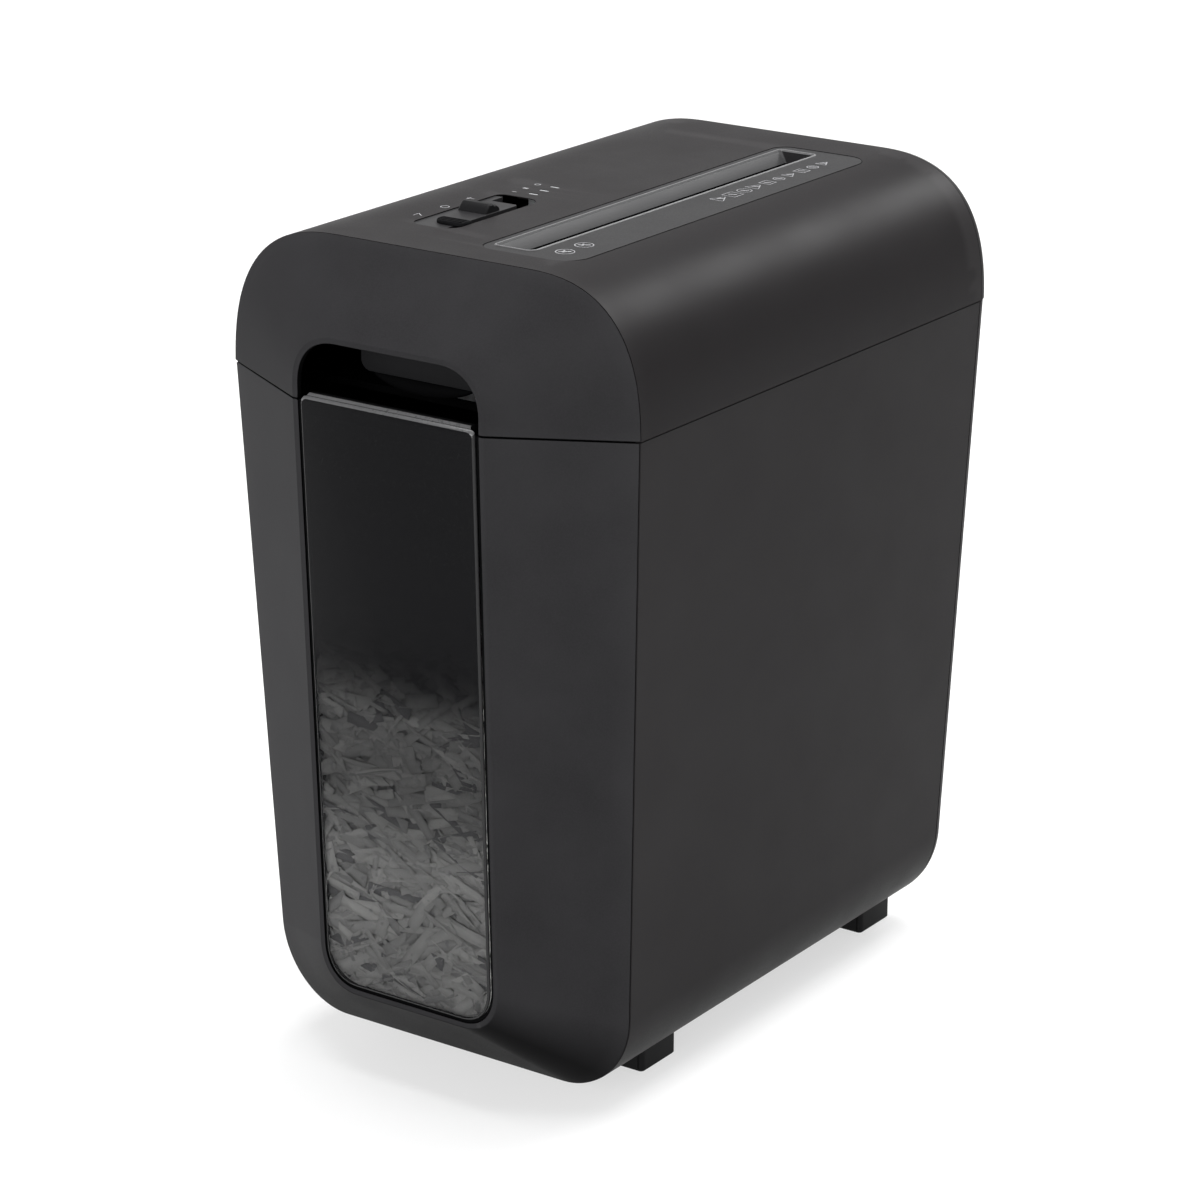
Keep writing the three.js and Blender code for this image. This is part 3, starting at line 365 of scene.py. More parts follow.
def band(rings, closed=False):
    """Rings that follow one another round a closed section."""
    n, k = len(rings[0]), len(rings)
    faces = []
    for a in range(k):
        b = (a + 1) % k
        for i in range(n if closed else n - 1):
            j = (i + 1) % n
            faces.append((a * n + i, a * n + j, b * n + j, b * n + i))
    if not closed:
        faces.append(tuple(a * n for a in range(k)))
        faces.append(tuple(a * n + n - 1 for a in reversed(range(k))))
    return [v for ring in rings for v in ring], faces


def shell(loop, y0, y1, sections):
    """A skin of one wall's thickness, open at both ends."""
    outer, inner = loop(0), loop(WALL)
    return band([*between(at_y(outer, y0), at_y(outer, y1), sections), at_y(inner, y1), at_y(inner, y0)])


def loft(rings):
    """A solid through closed rings, with a flat face at each end."""
    n, k = len(rings[0]), len(rings)
    faces = [
        (a * n + i, a * n + (i + 1) % n, (a + 1) * n + (i + 1) % n, (a + 1) * n + i)
        for a in range(k - 1)
        for i in range(n)
    ]
    faces += [tuple(reversed(range(n))), tuple((k - 1) * n + i for i in range(n))]
    return [v for ring in rings for v in ring], faces


def mesh_object(name, verts, faces, material=None):
    mesh = bpy.data.meshes.new(name)
    mesh.from_pydata([tuple(c * MM for c in v) for v in verts], [], faces)
    bm = bmesh.new()
    bm.from_mesh(mesh)
    bmesh.ops.remove_doubles(bm, verts=bm.verts, dist=1e-6)
    bmesh.ops.recalc_face_normals(bm, faces=bm.faces)
    bm.to_mesh(mesh)
    bm.free()
    obj = bpy.data.objects.new(name, mesh)
    bpy.context.scene.collection.objects.link(obj)
    if material:
        mesh.materials.append(material)
    return obj


def boolean(obj, operation, *tools):
    for tool in tools:
        m = obj.modifiers.new("cut", "BOOLEAN")
        m.operation = operation
        m.solver = "EXACT"
        m.object = tool
    bpy.context.view_layer.update()
    mesh = bpy.data.meshes.new_from_object(obj.evaluated_get(bpy.context.evaluated_depsgraph_get()))
    obj.modifiers.clear()
    old = obj.data
    obj.data = mesh
    bpy.data.meshes.remove(old)
    mesh.name = obj.name
    for tool in tools:
        data = tool.data
        bpy.data.objects.remove(tool)
        bpy.data.meshes.remove(data)
    return obj


def cut(obj, *tools):
    return boolean(obj, "DIFFERENCE", *tools)


def soften(obj, width, angle=32, segments=2):
    obj.data.shade_smooth()
    m = obj.modifiers.new("edges", "BEVEL")
    m.width = width * MM
    m.segments = segments
    m.limit_method = "ANGLE"
    m.angle_limit = math.radians(angle)
    m.harden_normals = True
    m.use_clamp_overlap = True
    return obj


def place(obj, body, slot, *replaced):
    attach(obj, body)
    if replaced:
        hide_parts(*replaced)
    return obj


def prism(name, loop, z0, z1, material=None):
    return mesh_object(name, *loft([at_z(loop, z0), at_z(loop, z1)]), material)


def prism_y(name, loop, y0, y1, material=None):
    return mesh_object(name, *loft([at_y(loop, y0), at_y(loop, y1)]), material)


def block(name, xs, ys, zs, material=None, r=0.0):
    if r:
        return prism(name, rounded(*xs, *ys, r), *zs, material)
    loop = [(xs[0], ys[0]), (xs[1], ys[0]), (xs[1], ys[1]), (xs[0], ys[1])]
    return prism(name, loop, *zs, material)


def turned(name, profile, centre, material):
    """A closed (radius, along) profile turned about the y axis through centre."""
    cx, cy, cz = centre
    sides = 40
    rings = []
    for i in range(sides):
        t = 2 * math.pi * i / sides
        c, s = math.cos(t), math.sin(t)
        rings.append([(cx + r * c, cy + h, cz + r * s) for r, h in profile])
    return mesh_object(name, *band(rings, closed=True), material)


# ------------------------------------------------------------------ casing

THROUGH_TOP = (360, 400)
PAD_X, PAD_Y0, PAD_PITCH, PAD_HALF, PAD_R = (-27.9, -22.9), -20.0, 8.2, 0.75, 0.7


def as_is(verts):
    return verts


def light_pads(grow, z0, z1):
    pads = []
    for i in range(3):
        y = PAD_Y0 + PAD_PITCH * i
        loop = rounded(PAD_X[0] - grow, PAD_X[1] + grow, y - PAD_HALF - grow, y + PAD_HALF + grow, PAD_R + grow, 4)
        pads.append(prism("pad", loop, z0, z1))
    return pads


def head_cover():
    """The top and sides in one, in many short sections, so that the openings don't upset the shading."""
    obj = mesh_object("head_cover_shell", *shell(head_loop, SKIN_FRONT_Y + GAP, SKIN_REAR_Y - GAP, 40), CASING)
    cut(
        obj,
        block("relief", (-42, -10.5), (-116.5, -20.6), (370, COVER_THIN_Z)),
        block("relief", (-42, -33.5), (-116.5, -12), (370, COVER_THIN_Z)),
        prism("pocket", rounded(-38, -14.5, -95, -28, (8, 4, 6, 8), 8), *THROUGH_TOP),
        prism("seat", rounded(10.5, 60.3, -112.3, 128.3, (12, 8, 8, 13), 8), *THROUGH_TOP),
        *light_pads(0.25, *THROUGH_TOP),
    )
    return place(soften(obj, 0.45), "shredder", "casing", "head_cover")


def hood(name, skin, opening, flare):
    """A front cap: a slanted face from the skin's outline to the rim, and the wall inside the opening. Its inward
    faces and the opening's wall near the front are painted in shade.
    """
    wall_y, recess, dark_y, steep = FRONT_Y + 3, 2.0, FRONT_Y + 14, 0.2
    rings = between(at_y(skin(0), SKIN_FRONT_Y), at_y(opening(RIM), FRONT_Y), 6)
    rings += [at_y(opening(0), FRONT_Y), at_y(opening(0), wall_y)]
    rings += [at_y(opening(recess), wall_y), at_y(skin(WALL), SKIN_FRONT_Y)]
    verts, faces = band(rings)
    obj = mesh_object(name, flare(verts), faces, FRONT)
    # Painted shade: inward faces and the opening's wall near the front take the near-black.
    obj.data.materials.append(PAINTED_SHADE)
    for face in obj.data.polygons:
        shaded_inward = face.normal.y > steep or (face.center.y / MM < dark_y and abs(face.normal.y) < steep)
        face.material_index = int(shaded_inward)
    return soften(obj, 0.4, 18, 3)


def head_front():
    obj = hood("head_front_hood", head_loop, opening_arch, as_is)
    return place(obj, "shredder", "front", "head_front_fascia")


def bin_front():
    obj = hood("bin_front_hood", cabinet_loop, opening_trough, taper)
    return place(obj, "bin", "front", "bin_front_panel")


def cabinet():
    verts, faces = shell(cabinet_loop, SKIN_FRONT_Y + 2 * GAP, SKIN_REAR_Y - GAP, 4)
    obj = mesh_object("cabinet_skin", taper(verts), faces, CASING)
    return place(soften(obj, 0.45), "shredder", "casing", "cabinet_shell")


def rear_dish(name, loop, open_loop, flare):
    """A flat back with a quarter-round edge, hollow inside."""
    rings = []
    for k in range(7):
        t = math.pi / 2 * k / 6
        rings.append(at_y(loop(REAR_CROWN * (1 - math.cos(t))), SKIN_REAR_Y + REAR_CROWN * math.sin(t)))
    verts, faces = loft(rings)
    obj = mesh_object(name, flare(verts), faces, CASING)
    verts, faces = loft([at_y(open_loop(WALL), SKIN_REAR_Y - 1), at_y(open_loop(REAR_CROWN), REAR_Y - WALL)])
    return cut(obj, mesh_object("hollow", flare(verts), faces))


def circle(cx, cz, r, sides=32):
    return [
        (cx + r * math.cos(2 * math.pi * i / sides), cz + r * math.sin(2 * math.pi * i / sides))
        for i in range(sides)
    ]


GLAND = (-78.0, 331.0)
SCREWS = [(-74, 292), (74, 292), (-74, 62), (74, 62)]
VENT_HALF, VENT_Z, VENT_PITCH, VENTS = 1.6, (328, 356), 8.5, 9
SCREW_PROFILE = [(0.01, -5), (1.6, -5), (1.6, -1.9), (3.3, -1.9), (3.3, -1.0), (2.9, -0.45), (1.8, -0.1), (0.01, 0)]
GLAND_PROFILE = [(3.6, -6.8), (6.9, -6.8), (6.9, -4.2), (6.4, -3.9), (6.9, -3.5)]
GLAND_PROFILE += [(6.9, -0.7), (6.4, -0.25), (4.4, -0.25), (3.7, -0.9)]


def head_rear():
    obj = rear_dish("head_rear_dish", head_loop, lambda inset: head_loop(inset, SEAM_Z - 1), as_is)
    depth = (REAR_Y - 8, REAR_Y + 2)
    vents = [
        prism_y("vent", rounded(x - VENT_HALF, x + VENT_HALF, *VENT_Z, 1.55), *depth)
        for x in (-34 + VENT_PITCH * i for i in range(VENTS))
    ]
    cut(obj, *vents, prism_y("hole", circle(*GLAND, 7.3), *depth))
    return place(soften(obj, 0.35), "shredder", "casing", "head_rear_cover")


def cabinet_rear():
    obj = rear_dish("cabinet_rear_dish", cabinet_loop, lambda inset: cabinet_loop(inset, SEAM_Z + 1), taper)
    cut(obj, *[prism_y("hole", circle(x, z, 3.7, 24), REAR_Y - 30, REAR_Y + 2) for x, z in SCREWS])
    return place(soften(obj, 0.35), "shredder", "casing", "cabinet_rear_panel")


def rear_screws():
    for i, (x, z) in enumerate(SCREWS):
        face = REAR_Y - DRAFT_REAR * (SEAM_Z - z) - 0.5
        obj = turned(f"screw_{i + 1}", SCREW_PROFILE, (x, face, z), STEEL)
        slots = [
            block("slot", (x - a, x + a), (face - 1.2, face + 1), (z - b, z + b))
            for a, b in ((1.9, 0.35), (0.35, 1.9))
        ]
        place(soften(cut(obj, *slots), 0.08), "shredder", "steel", f"rear_screw_{i + 1}")


def cord_gland():
    x, z = GLAND
    ring = turned("gland_ring", GLAND_PROFILE, (x, REAR_Y, z), RUBBER)
    place(soften(ring, 0.15), "shredder", "rubber", "cord_gland")


def feet():
    inner_x, outer_x, long, groove_x = 45.6, 72.6, 27.2, 70.2
    for side, sign in (("left", -1), ("right", 1)):
        for end, y in (("front", -72.6), ("rear", 117.3)):
            xs = sorted((sign * inner_x, sign * outer_x))
            rings = [
                at_z(rounded(xs[0] + d, xs[1] - d, y + d, y + long - d, 2.0 + (0.5 - d), 5), z)
                for d, z in ((0.8, 0.0), (0.0, 0.8), (0.0, 12.6))
            ]
            obj = mesh_object(f"foot_block_{end}_{side}", *loft(rings), RUBBER)
            grooves = [
                block("groove", (sign * groove_x - 0.35, sign * groove_x + 0.35), (y - 1, y + 0.5), (1.4, 20)),
                block("tread", (xs[0] + 4, xs[1] - 4), (y + 4, y + long - 4), (-1, 0.6), r=2),
            ]
            place(soften(cut(obj, *grooves), 0.15), "shredder", "rubber", f"foot_{end}_{side}")


# ------------------------------------------------------------------ paper entry

# The slot's outlines: left and right of its middle line, in from its ends, and the corner radii.
MOUTH = (10.1, 9.0, 0, (1.5, 1.5, 1.5, 3.6))
MOUTH_EDGE = (10.4, 9.3, -0.4, (1.6, 1.6, 1.6, 3.8))
MOUTH_MID = (6.2, 5.7, 1.7, (1.1, 1.1, 1.1, 1.6))
THROAT = (2.75, 2.75, 3.2, 0.9)
MID_DEPTH, THROAT_DEPTH, CHIMNEY_DEPTH = 5.4, 13.5, 31


def mouth(left, right, pull, r):
    return rounded(SLOT_X - left, SLOT_X + right, SLOT_Y0 + pull, SLOT_Y1 - pull, r, 6)


def entry_bezel():
    """The plate, its chimney with the paper lever's lugs, and the funnel, whose deep part is painted in shade and
    whose sloped left wall is a lighter grey.
    """
    top, lit = ENTRY_TOP, ENTRY_TOP - MID_DEPTH
    plate = prism("entry_bezel", rounded(10.8, 60, -112, 128, (11.7, 7.7, 7.7, 12.7), 10), top - 3, top, BEZEL)
    chimney = block("chimney", (14.25, 36.25), (SLOT_Y0 - 2, SLOT_Y1 + 2), (top - 30, top - 2))
    lugs = [block("lug", (35.25, 45), (y, y + 2.5), (355, 365)) for y in (0.0, 13.5)]
    boolean(plate, "UNION", chimney, *lugs)
    rings = [
        at_z(mouth(*outline), top - depth)
        for outline, depth in (
            (MOUTH_EDGE, -1),
            (MOUTH_EDGE, 0.3),
            (MOUTH, 0.6),
            (MOUTH_MID, MID_DEPTH),
            (THROAT, THROAT_DEPTH),
            (THROAT, CHIMNEY_DEPTH),
        )
    ]
    for material in (SLOPE_GREY, PAINTED_SHADE):
        plate.data.materials.append(material)
    cut(
        plate,
        mesh_object("funnel", *loft(rings)),
        block("notch", (SLOT_X, SLOT_X + 20), (4, 12), (top - CHIMNEY_DEPTH, 366)),
        prism_y("axle_hole", circle(41, 360, 2.3, 20), -2, 18),
    )
    # Painted shade on the funnel's deep faces; the lighter grey on its sloped wall that faces right.
    for face in plate.data.polygons:
        c = face.center / MM
        shaded_deep = c.z < lit and c.x < 40
        sloped = face.normal.x > 0.3 and face.normal.z > 0.05
        face.material_index = 2 if shaded_deep else int(sloped and 14.9 < c.x < 21 and lit < c.z < top - 0.2)
    place(soften(plate, 0.3, 25, 3), "shredder", "bezel", "paper_entry_bezel")


def slot_outline():
    """A thin raised ring round the slot's mouth, light as a painted highlight on its rim."""
    left, right, _, radii = MOUTH
    rings = []
    for grow, rise in ((1.0, -0.02), (0.8, 0.3), (0.2, 0.3), (0.0, -0.5)):
        loop = mouth(left + grow, right + grow, -grow, tuple(r + grow for r in radii))
        rings.append(at_z(loop, ENTRY_TOP + rise))
    verts, faces = band(rings, closed=True)
    place(mesh_object("slot_outline", verts, faces, MOUTH_HIGHLIGHT), "shredder", "light")


# ------------------------------------------------------------------ printed marks

MARK_LINE = 0.45
MARK_LOW, MARK_HIGH, MARK_STEP = 0.02, 0.05, 0.012  # above the face that carries them


def ring_mark(cx, cy, r, line=MARK_LINE, sides=28):
    return [(circle(cx, cy, r, sides), circle(cx, cy, r - line, sides))]


def bar_mark(x0, y0, x1, y1, line=MARK_LINE):
    dx, dy = x1 - x0, y1 - y0
    d = math.hypot(dx, dy)
    u, v = -dy / d * line / 2, dx / d * line / 2
    return [([(x0 + u, y0 + v), (x0 - u, y0 - v), (x1 - u, y1 - v), (x1 + u, y1 + v)], None)]


def entry_marks():
    """Two badges at the slot's front, and a row of triangles, squares and rings beside its rear."""
    marks = []
    for y in (-97.0, -83.0):
        marks += ring_mark(46, y, 4.3, 0.5)
        marks += bar_mark(43.6, y - 1.4, 48.2, y + 1.6, 1.3) + bar_mark(44.4, y + 1.8, 46.2, y - 1.6, 0.8)
    for i in range(10):
        x, y = 46.4, 22 + 9.6 * i
        r = 3.6 if i < 4 else 2.9
        x0, x1, y0, y1 = x - r, x + r, y - r, y + r
        if i % 3 == 0:
            marks += bar_mark(x0, y0, x1, y0) + bar_mark(x0, y0, x, y1) + bar_mark(x1, y0, x, y1)
        elif i % 3 == 1:
            marks += bar_mark(x0, y0, x0, y1) + bar_mark(x1, y0, x1, y1)
            marks += bar_mark(x0, y0, x1, y0) + bar_mark(x0, y1, x1, y1)
        else:
            marks += ring_mark(x, y, r)
        marks += bar_mark(x - r * 0.5, y - 0.8, x + r * 0.5, y + 0.8, 1.0)
    return marks


def cover_marks():
    """An angle, a ring, a cross, two bars and a small ring round the control."""
    marks = bar_mark(-44.4, -83.2, -44.4, -79.0) + bar_mark(-44.4, -79.0, -40.8, -81.8)
    marks += ring_mark(-42.6, -62.5, 2.1) + bar_mark(-44.6, -43.6, -40.6, -43.6, 0.5)
    marks += bar_mark(-43.6, -45.4, -43.6, -41.8, 0.5)
    marks += bar_mark(-36.0, -21.6, -33.4, -21.6, 0.6) + bar_mark(-36, -13.2, -33.2, -13.2, 1.6)
    return marks + ring_mark(-34.4, -4.2, 1.5, 0.5, 20)


def printed_marks():
    """Low solids of slightly different heights, so that no two tops lie in one plane where they cross."""
    for name, shapes, z in (("entry_marks", entry_marks(), ENTRY_TOP), ("cover_marks", cover_marks(), TOP_Z)):
        verts, faces = [], []
        for number, (outer, inner) in enumerate(shapes):
            base, n = len(verts), len(outer)
            low, high = z + MARK_LOW, z + MARK_HIGH + MARK_STEP * (number % 5)
            loops = [at_z(outer, low), at_z(outer, high)]
            if inner:
                loops += [at_z(inner, high), at_z(inner, low)]
            else:
                faces.append(tuple(base + n + i for i in range(n)))
            for a in range(base, base + n * (len(loops) - 1), n):
                for i in range(n):
                    j = (i + 1) % n
                    faces.append((a + i, a + j, a + n + j, a + n + i))
            verts += [v for loop in loops for v in loop]
        place(mesh_object(name, verts, faces, PRINT), "shredder", "light")


# ------------------------------------------------------------------ control

PLATE_Z = (377.3, 381.5)
RIDE_Z, KNOB_TOP, LOCK_TOP = 379.6, 385.4, 383.1


def slider():
    plate = prism("slide_plate", rounded(-41, -19.6, -100, -39.6, 2.0), *PLATE_Z, BEZEL)
    stem = block("stem", (-29, -25), (-60, -54), (367.9, 378))
    boolean(plate, "UNION", stem, block("step", (-41, -34.2), (-60, -31), PLATE_Z))
    place(soften(plate, 0.2), "control_slider", "bezel", "slider_plate")


def knob():
    """A wedge with a scooped front, a rib along its top and a step behind."""
    y0, y1 = -63.3, -51.5
    middle, scoop = (y0 + y1) / 2, 3.5
    profile = [(y0, RIDE_Z), (y1, RIDE_Z), (y1, RIDE_Z + 2.9), (y1 - 0.9, RIDE_Z + 3.9)]
    profile += [(y1 - 2.6, KNOB_TOP - 1.0), (y1 - 4.2, KNOB_TOP - 0.9), (y1 - 4.8, KNOB_TOP - 0.1)]
    profile += [(y0 + 4.4, KNOB_TOP), (y0 + scoop, KNOB_TOP - 0.5)]
    for t in (0.25, 0.5, 0.75, 1.0):
        profile.append((y0 + scoop * (1 - t) ** 1.3, RIDE_Z + 0.6 + (KNOB_TOP - 1.1 - RIDE_Z) * (1 - t)))
    rings = []
    for x, pull in ((-36, 0.8), (-35.3, 0.1), (-34.6, 0), (-22, 0), (-21.3, 0.1), (-20.6, 0.8)):
        k = 1 - pull / 8
        rings.append([(x, middle + (y - middle) * k, RIDE_Z + (z - RIDE_Z) * k) for y, z in profile])
    obj = mesh_object("control_knob", *loft(rings), KNOB)
    place(soften(obj, 0.3, 24, 3), "control_slider", "black", "slider_knob")


def lock():
    """A ribbed button that slides on the cover, with a stem down to its tongue."""
    cx, cy, stem_y = -23.1, -83.5, (-85.5, -80)
    loop = rounded(-31, -15.2, -87.5, -79.5, (1.2, 1.2, 5.2, 4.2), 8)
    rings = [at_z(loop, COVER_THIN_Z), at_z(loop, LOCK_TOP - 0.7)]
    for k, drop in ((0.25, 0.25), (0.6, 0)):
        shrunk = [(cx + (x - cx) * (1 - k / 8), cy + (y - cy) * (1 - k / 4)) for x, y in loop]
        rings.append(at_z(shrunk, LOCK_TOP - drop))
    obj = mesh_object("lock_button", *loft(rings), BLACK)
    boolean(obj, "UNION", block("stem", (-19.2, -15.4), stem_y, (RIDE_Z, 382)))
    boolean(obj, "UNION", block("tongue", (-16.3, -11.2), stem_y, (RIDE_Z, 380.7)))
    groove_z = (LOCK_TOP - 0.9, LOCK_TOP + 1)
    grooves = [block("rib", (-29.5, -16.5), (y, y + 1.1), groove_z) for y in (-85.9, -83.9, -81.9)]
    place(soften(cut(obj, *grooves), 0.2), "slider_lock", "black", "lock_tab")


def light_pipe():
    bar_top, last = 376.5, PAD_Y0 + PAD_PITCH * 2
    # The bar under the cover takes the near-black painted shade.
    bar = block("light_pipe", (-30.4, -20.4), (-23, last + 3), (373.5, bar_top), PAINTED_SHADE)
    boolean(bar, "UNION", *light_pads(0, 376, TOP_Z - 0.1))
    bar.data.materials.append(LAMP)
    for face in bar.data.polygons:
        face.material_index = int(face.center.z / MM > bar_top + 0.5)
    place(soften(bar, 0.12), "shredder", "light", "indicator_light_pipe")


# ------------------------------------------------------------------ window

PANE_RINGS = ((0, 1.0, 318.0), (0.4, 0.25, 318.3), (0.8, 0, 318.6), (PANE, 0, 319.1))  # back, in, top
LENS_HEAD = [(2.6, 1.6, 311), (2.6, 1.6, 319.2), (3.2, 2.9, 320.2), (3.2, 5.5, 320.2), (2.6, 5.5, 311)]  # in, back, z
FLAT, UPWARD = 0.97, 0.3  # of a face's normal


def window():
    """A thin pane with polished sides and a painted highlight on its upward edge faces."""
    rings = []
    for back, pull, top in PANE_RINGS:
        rings.append(at_y(eased(opening_trough(-LENS_GAP - pull, top), 2.6), LENS_FACE + back))
    verts, faces = loft(rings)
    obj = mesh_object("lens", taper(verts), faces, LENS)
    for material in (LENS_TOP_HIGHLIGHT, POLISH):
        obj.data.materials.append(material)
    # Upward edge faces get the painted highlight; the other edge faces are polished.
    for face in obj.data.polygons:
        if abs(face.normal.y) < FLAT:
            face.material_index = 1 if face.normal.z > UPWARD else 2
    place(soften(obj, 0.15, 40), "bin", "smoked", "window_lens")


def lens_head():
    """The pane's thicker head, whose top edge slopes back and carries a painted highlight."""
    half = OPEN_HALF - LENS_GAP - 0.05
    rings = [[(side * (half - pull), LENS_FACE + y, z) for pull, y, z in LENS_HEAD] for side in (-1, 1)]
    head = mesh_object("lens_head", *loft(rings), BLACK)
    head.data.materials.append(LENS_TOP_HIGHLIGHT)
    # The faces turned up and forwards get the painted highlight.
    for face in head.data.polygons:
        face.material_index = int(face.normal.z > UPWARD and face.normal.y < -UPWARD)
    place(soften(head, 0.12, 30), "bin", "smoked")


def lens_gasket():
    front, rear, top, play = FRONT_Y + 0.8, FRONT_Y + 7.3, 316.6, 0.08
    outer, inner = opening_trough(-play, top), opening_trough(-LENS_GAP + play, top)
    verts, faces = band([at_y(outer, front), at_y(outer, rear), at_y(inner, rear), at_y(inner, front)])
    # The gasket takes the near-black painted shade of the gap round the lens.
    place(soften(mesh_object("lens_gasket", taper(verts), faces, PAINTED_SHADE), 0.2), "bin", "black")


# ------------------------------------------------------------------ shreds

WINDOW_STRIPS, HEAP_STRIPS, STRIP_PARTS = 2200, 1900, 5
FRONT_LAYER, FREE_DEPTH, REAR_LIMIT = 1.0, 24.0, 124.0


def pile_height(x, y):
    u, v = x / 30, y / 34
    return 196 + 9 * math.sin(1.3 * u + 0.6) * math.cos(0.9 * v) + 6 * math.sin(2.9 * u - 1.1 * v)


def lens_back(z):
    return LENS_FACE + PANE + DRAFT_FRONT * (SEAM_Z - z)


def held_in(x, y, z):
    """The point, pressed inside the window's outline, which widens behind the front."""
    y = min(max(y, lens_back(z) + 0.2), REAR_LIMIT)
    depth = min(y - lens_back(z), FREE_DEPTH)
    back = max(0.0, depth - FRONT_LAYER)
    half, base, r = OPEN_HALF - LENS_GAP - 0.9 + 1.3 * back, 45.4 - 0.6 * back, 18.0
    x, z = min(max(x, -half), half), max(z, base)
    dx, dz = abs(x) - (half - r), (base + r) - z
    if dx > 0 and dz > 0 and math.hypot(dx, dz) > r:
        k = r / math.hypot(dx, dz)
        x, z = math.copysign(half - r + dx * k, x), base + r - dz * k
    return (x, y, z)


def shaded(mesh, tones_and_shadows):
    layer = mesh.attributes.new("tone_and_shadow", "FLOAT", "FACE")
    layer.data.foreach_set("value", tones_and_shadows)
    mesh.shade_smooth()


def loose_strips(rng):
    """Cross-cut strips, pressed against the window and lying on the heap."""
    verts, faces, tones_and_shadows = [], [], []

    def strip(centre, along, flat, length, width, curl, twist):
        a = Vector(along).normalized()
        n = Vector(flat)
        n = (n - a * n.dot(a)).normalized()
        w = n.cross(a)
        base = len(verts)
        for i in range(STRIP_PARTS + 1):
            s = i / STRIP_PARTS - 0.5
            turn = twist * s
            side = w * math.cos(turn) + n * math.sin(turn)
            lift = n * (curl * (s * s * 4 - 0.33))
            p = Vector(centre) + a * (length * s) + lift
            skew = a * (0.6 if i in (0, STRIP_PARTS) else 0.0)
            verts.append(tuple(p + side * (width / 2) + skew))
            verts.append(tuple(p - side * (width / 2)))
        # Random tones, and for 7 in 100 strips a near-black value that is painted shadow in the gaps between strips.
        tone_and_shadow = min(1.0, max(0.0, rng.gauss(0.68, 0.16))) if rng.random() > 0.07 else 0.05
        for b in range(base, base + 2 * STRIP_PARTS, 2):
            faces.append((b, b + 1, b + 3, b + 2))
            tones_and_shadows.append(tone_and_shadow)

    for _ in range(WINDOW_STRIPS):
        z = rng.uniform(38, 212)
        x = rng.uniform(-50, 50)
        if z > pile_height(x, -150) + rng.uniform(-6, 6):
            continue
        depth = rng.random() ** 1.5 * 14
        t = rng.gauss(0.0, 0.5)
        along = Vector((math.cos(t), rng.gauss(0, 0.07), math.sin(t)))
        flat = Vector((rng.gauss(0, 0.25), -1, rng.gauss(0, 0.3)))
        size = (rng.uniform(16, 36), rng.uniform(4.0, 7.0))
        strip((x, lens_back(z) + 0.8 + depth, z), along, flat, *size, rng.uniform(-1.8, 1.8), rng.gauss(0, 0.6))
    for _ in range(HEAP_STRIPS):
        x, y = rng.uniform(-76, 76), rng.uniform(-134, 112)
        z = pile_height(x, y) + rng.uniform(-7, 3)
        t = rng.uniform(0, math.pi)
        along = Vector((math.cos(t), math.sin(t), rng.gauss(0, 0.25)))
        flat = Vector((rng.gauss(0, 0.4), rng.gauss(0, 0.4), 1))
        size = (rng.uniform(18, 40), rng.uniform(3.4, 4.6))
        strip((x, y, z), along, flat, *size, rng.uniform(-3, 3), rng.gauss(0, 0.8))

    mesh = bpy.data.meshes.new("shredded_paper")
    mesh.from_pydata([tuple(c * MM for c in held_in(*v)) for v in verts], [], faces)
    mesh.materials.append(PAPER)
    shaded(mesh, tones_and_shadows)
    obj = bpy.data.objects.new("shredded_paper", mesh)
    bpy.context.scene.collection.objects.link(obj)
    m = obj.modifiers.new("thickness", "SOLIDIFY")
    m.thickness = 0.12 * MM
    place(obj, "bin", "light")


def heap(rng):
    """The solid body under the loose strips."""
    nx, ny = 30, 44
    grid = []
    for j in range(ny + 1):
        for i in range(nx + 1):
            x = -68 + 136 * i / nx
            y = -138 + 249 * j / ny
            grid.append((x, y, pile_height(x, y) - 6 + rng.gauss(0, 1.6)))
    lower = [(x * 0.7, y, 44.0) for x, y, _ in grid]
    cells = []
    size = len(grid)

    def cell(i, j):
        return j * (nx + 1) + i

    for j in range(ny):
        for i in range(nx):
            q = (cell(i, j), cell(i + 1, j), cell(i + 1, j + 1), cell(i, j + 1))
            cells += [q, tuple(size + k for k in reversed(q))]
    rim = [cell(i, 0) for i in range(nx)] + [cell(nx, j) for j in range(ny)]
    rim += [cell(i, ny) for i in range(nx, 0, -1)] + [cell(0, j) for j in range(ny, 0, -1)]
    cells += [(a, size + a, size + b, b) for a, b in zip(rim, rim[1:] + rim[:1])]
    obj = mesh_object("shred_heap", grid + lower, cells, PAPER)
    shaded(obj.data, [0.35 + 0.3 * rng.random() for _ in obj.data.polygons])
    place(obj, "bin", "light")


def shreds():
    rng = random.Random(11)
    loose_strips(rng)
    heap(rng)


# ------------------------------------------------------------------ handle and cutter guard


def handle():
    profile = [(-153.7, 313.9), (-147.3, 313.9), (-147.3, 308), (-144.8, 308)]
    profile += [(-144.8, 315.4), (-145.8, 316.4), (-153.7, 316.4)]
    rings = [[(x, y, z) for y, z in profile] for x in (-45.5, 45.5)]
    place(soften(mesh_object("grip_lip", *loft(rings), BLACK), 0.3), "bin", "black", "handle_lip")


GUARD_FRONT, GUARD_REAR, GUARD_BOTTOM, GUARD_WALL = -137.0, -114.0, 327.0, 2.5


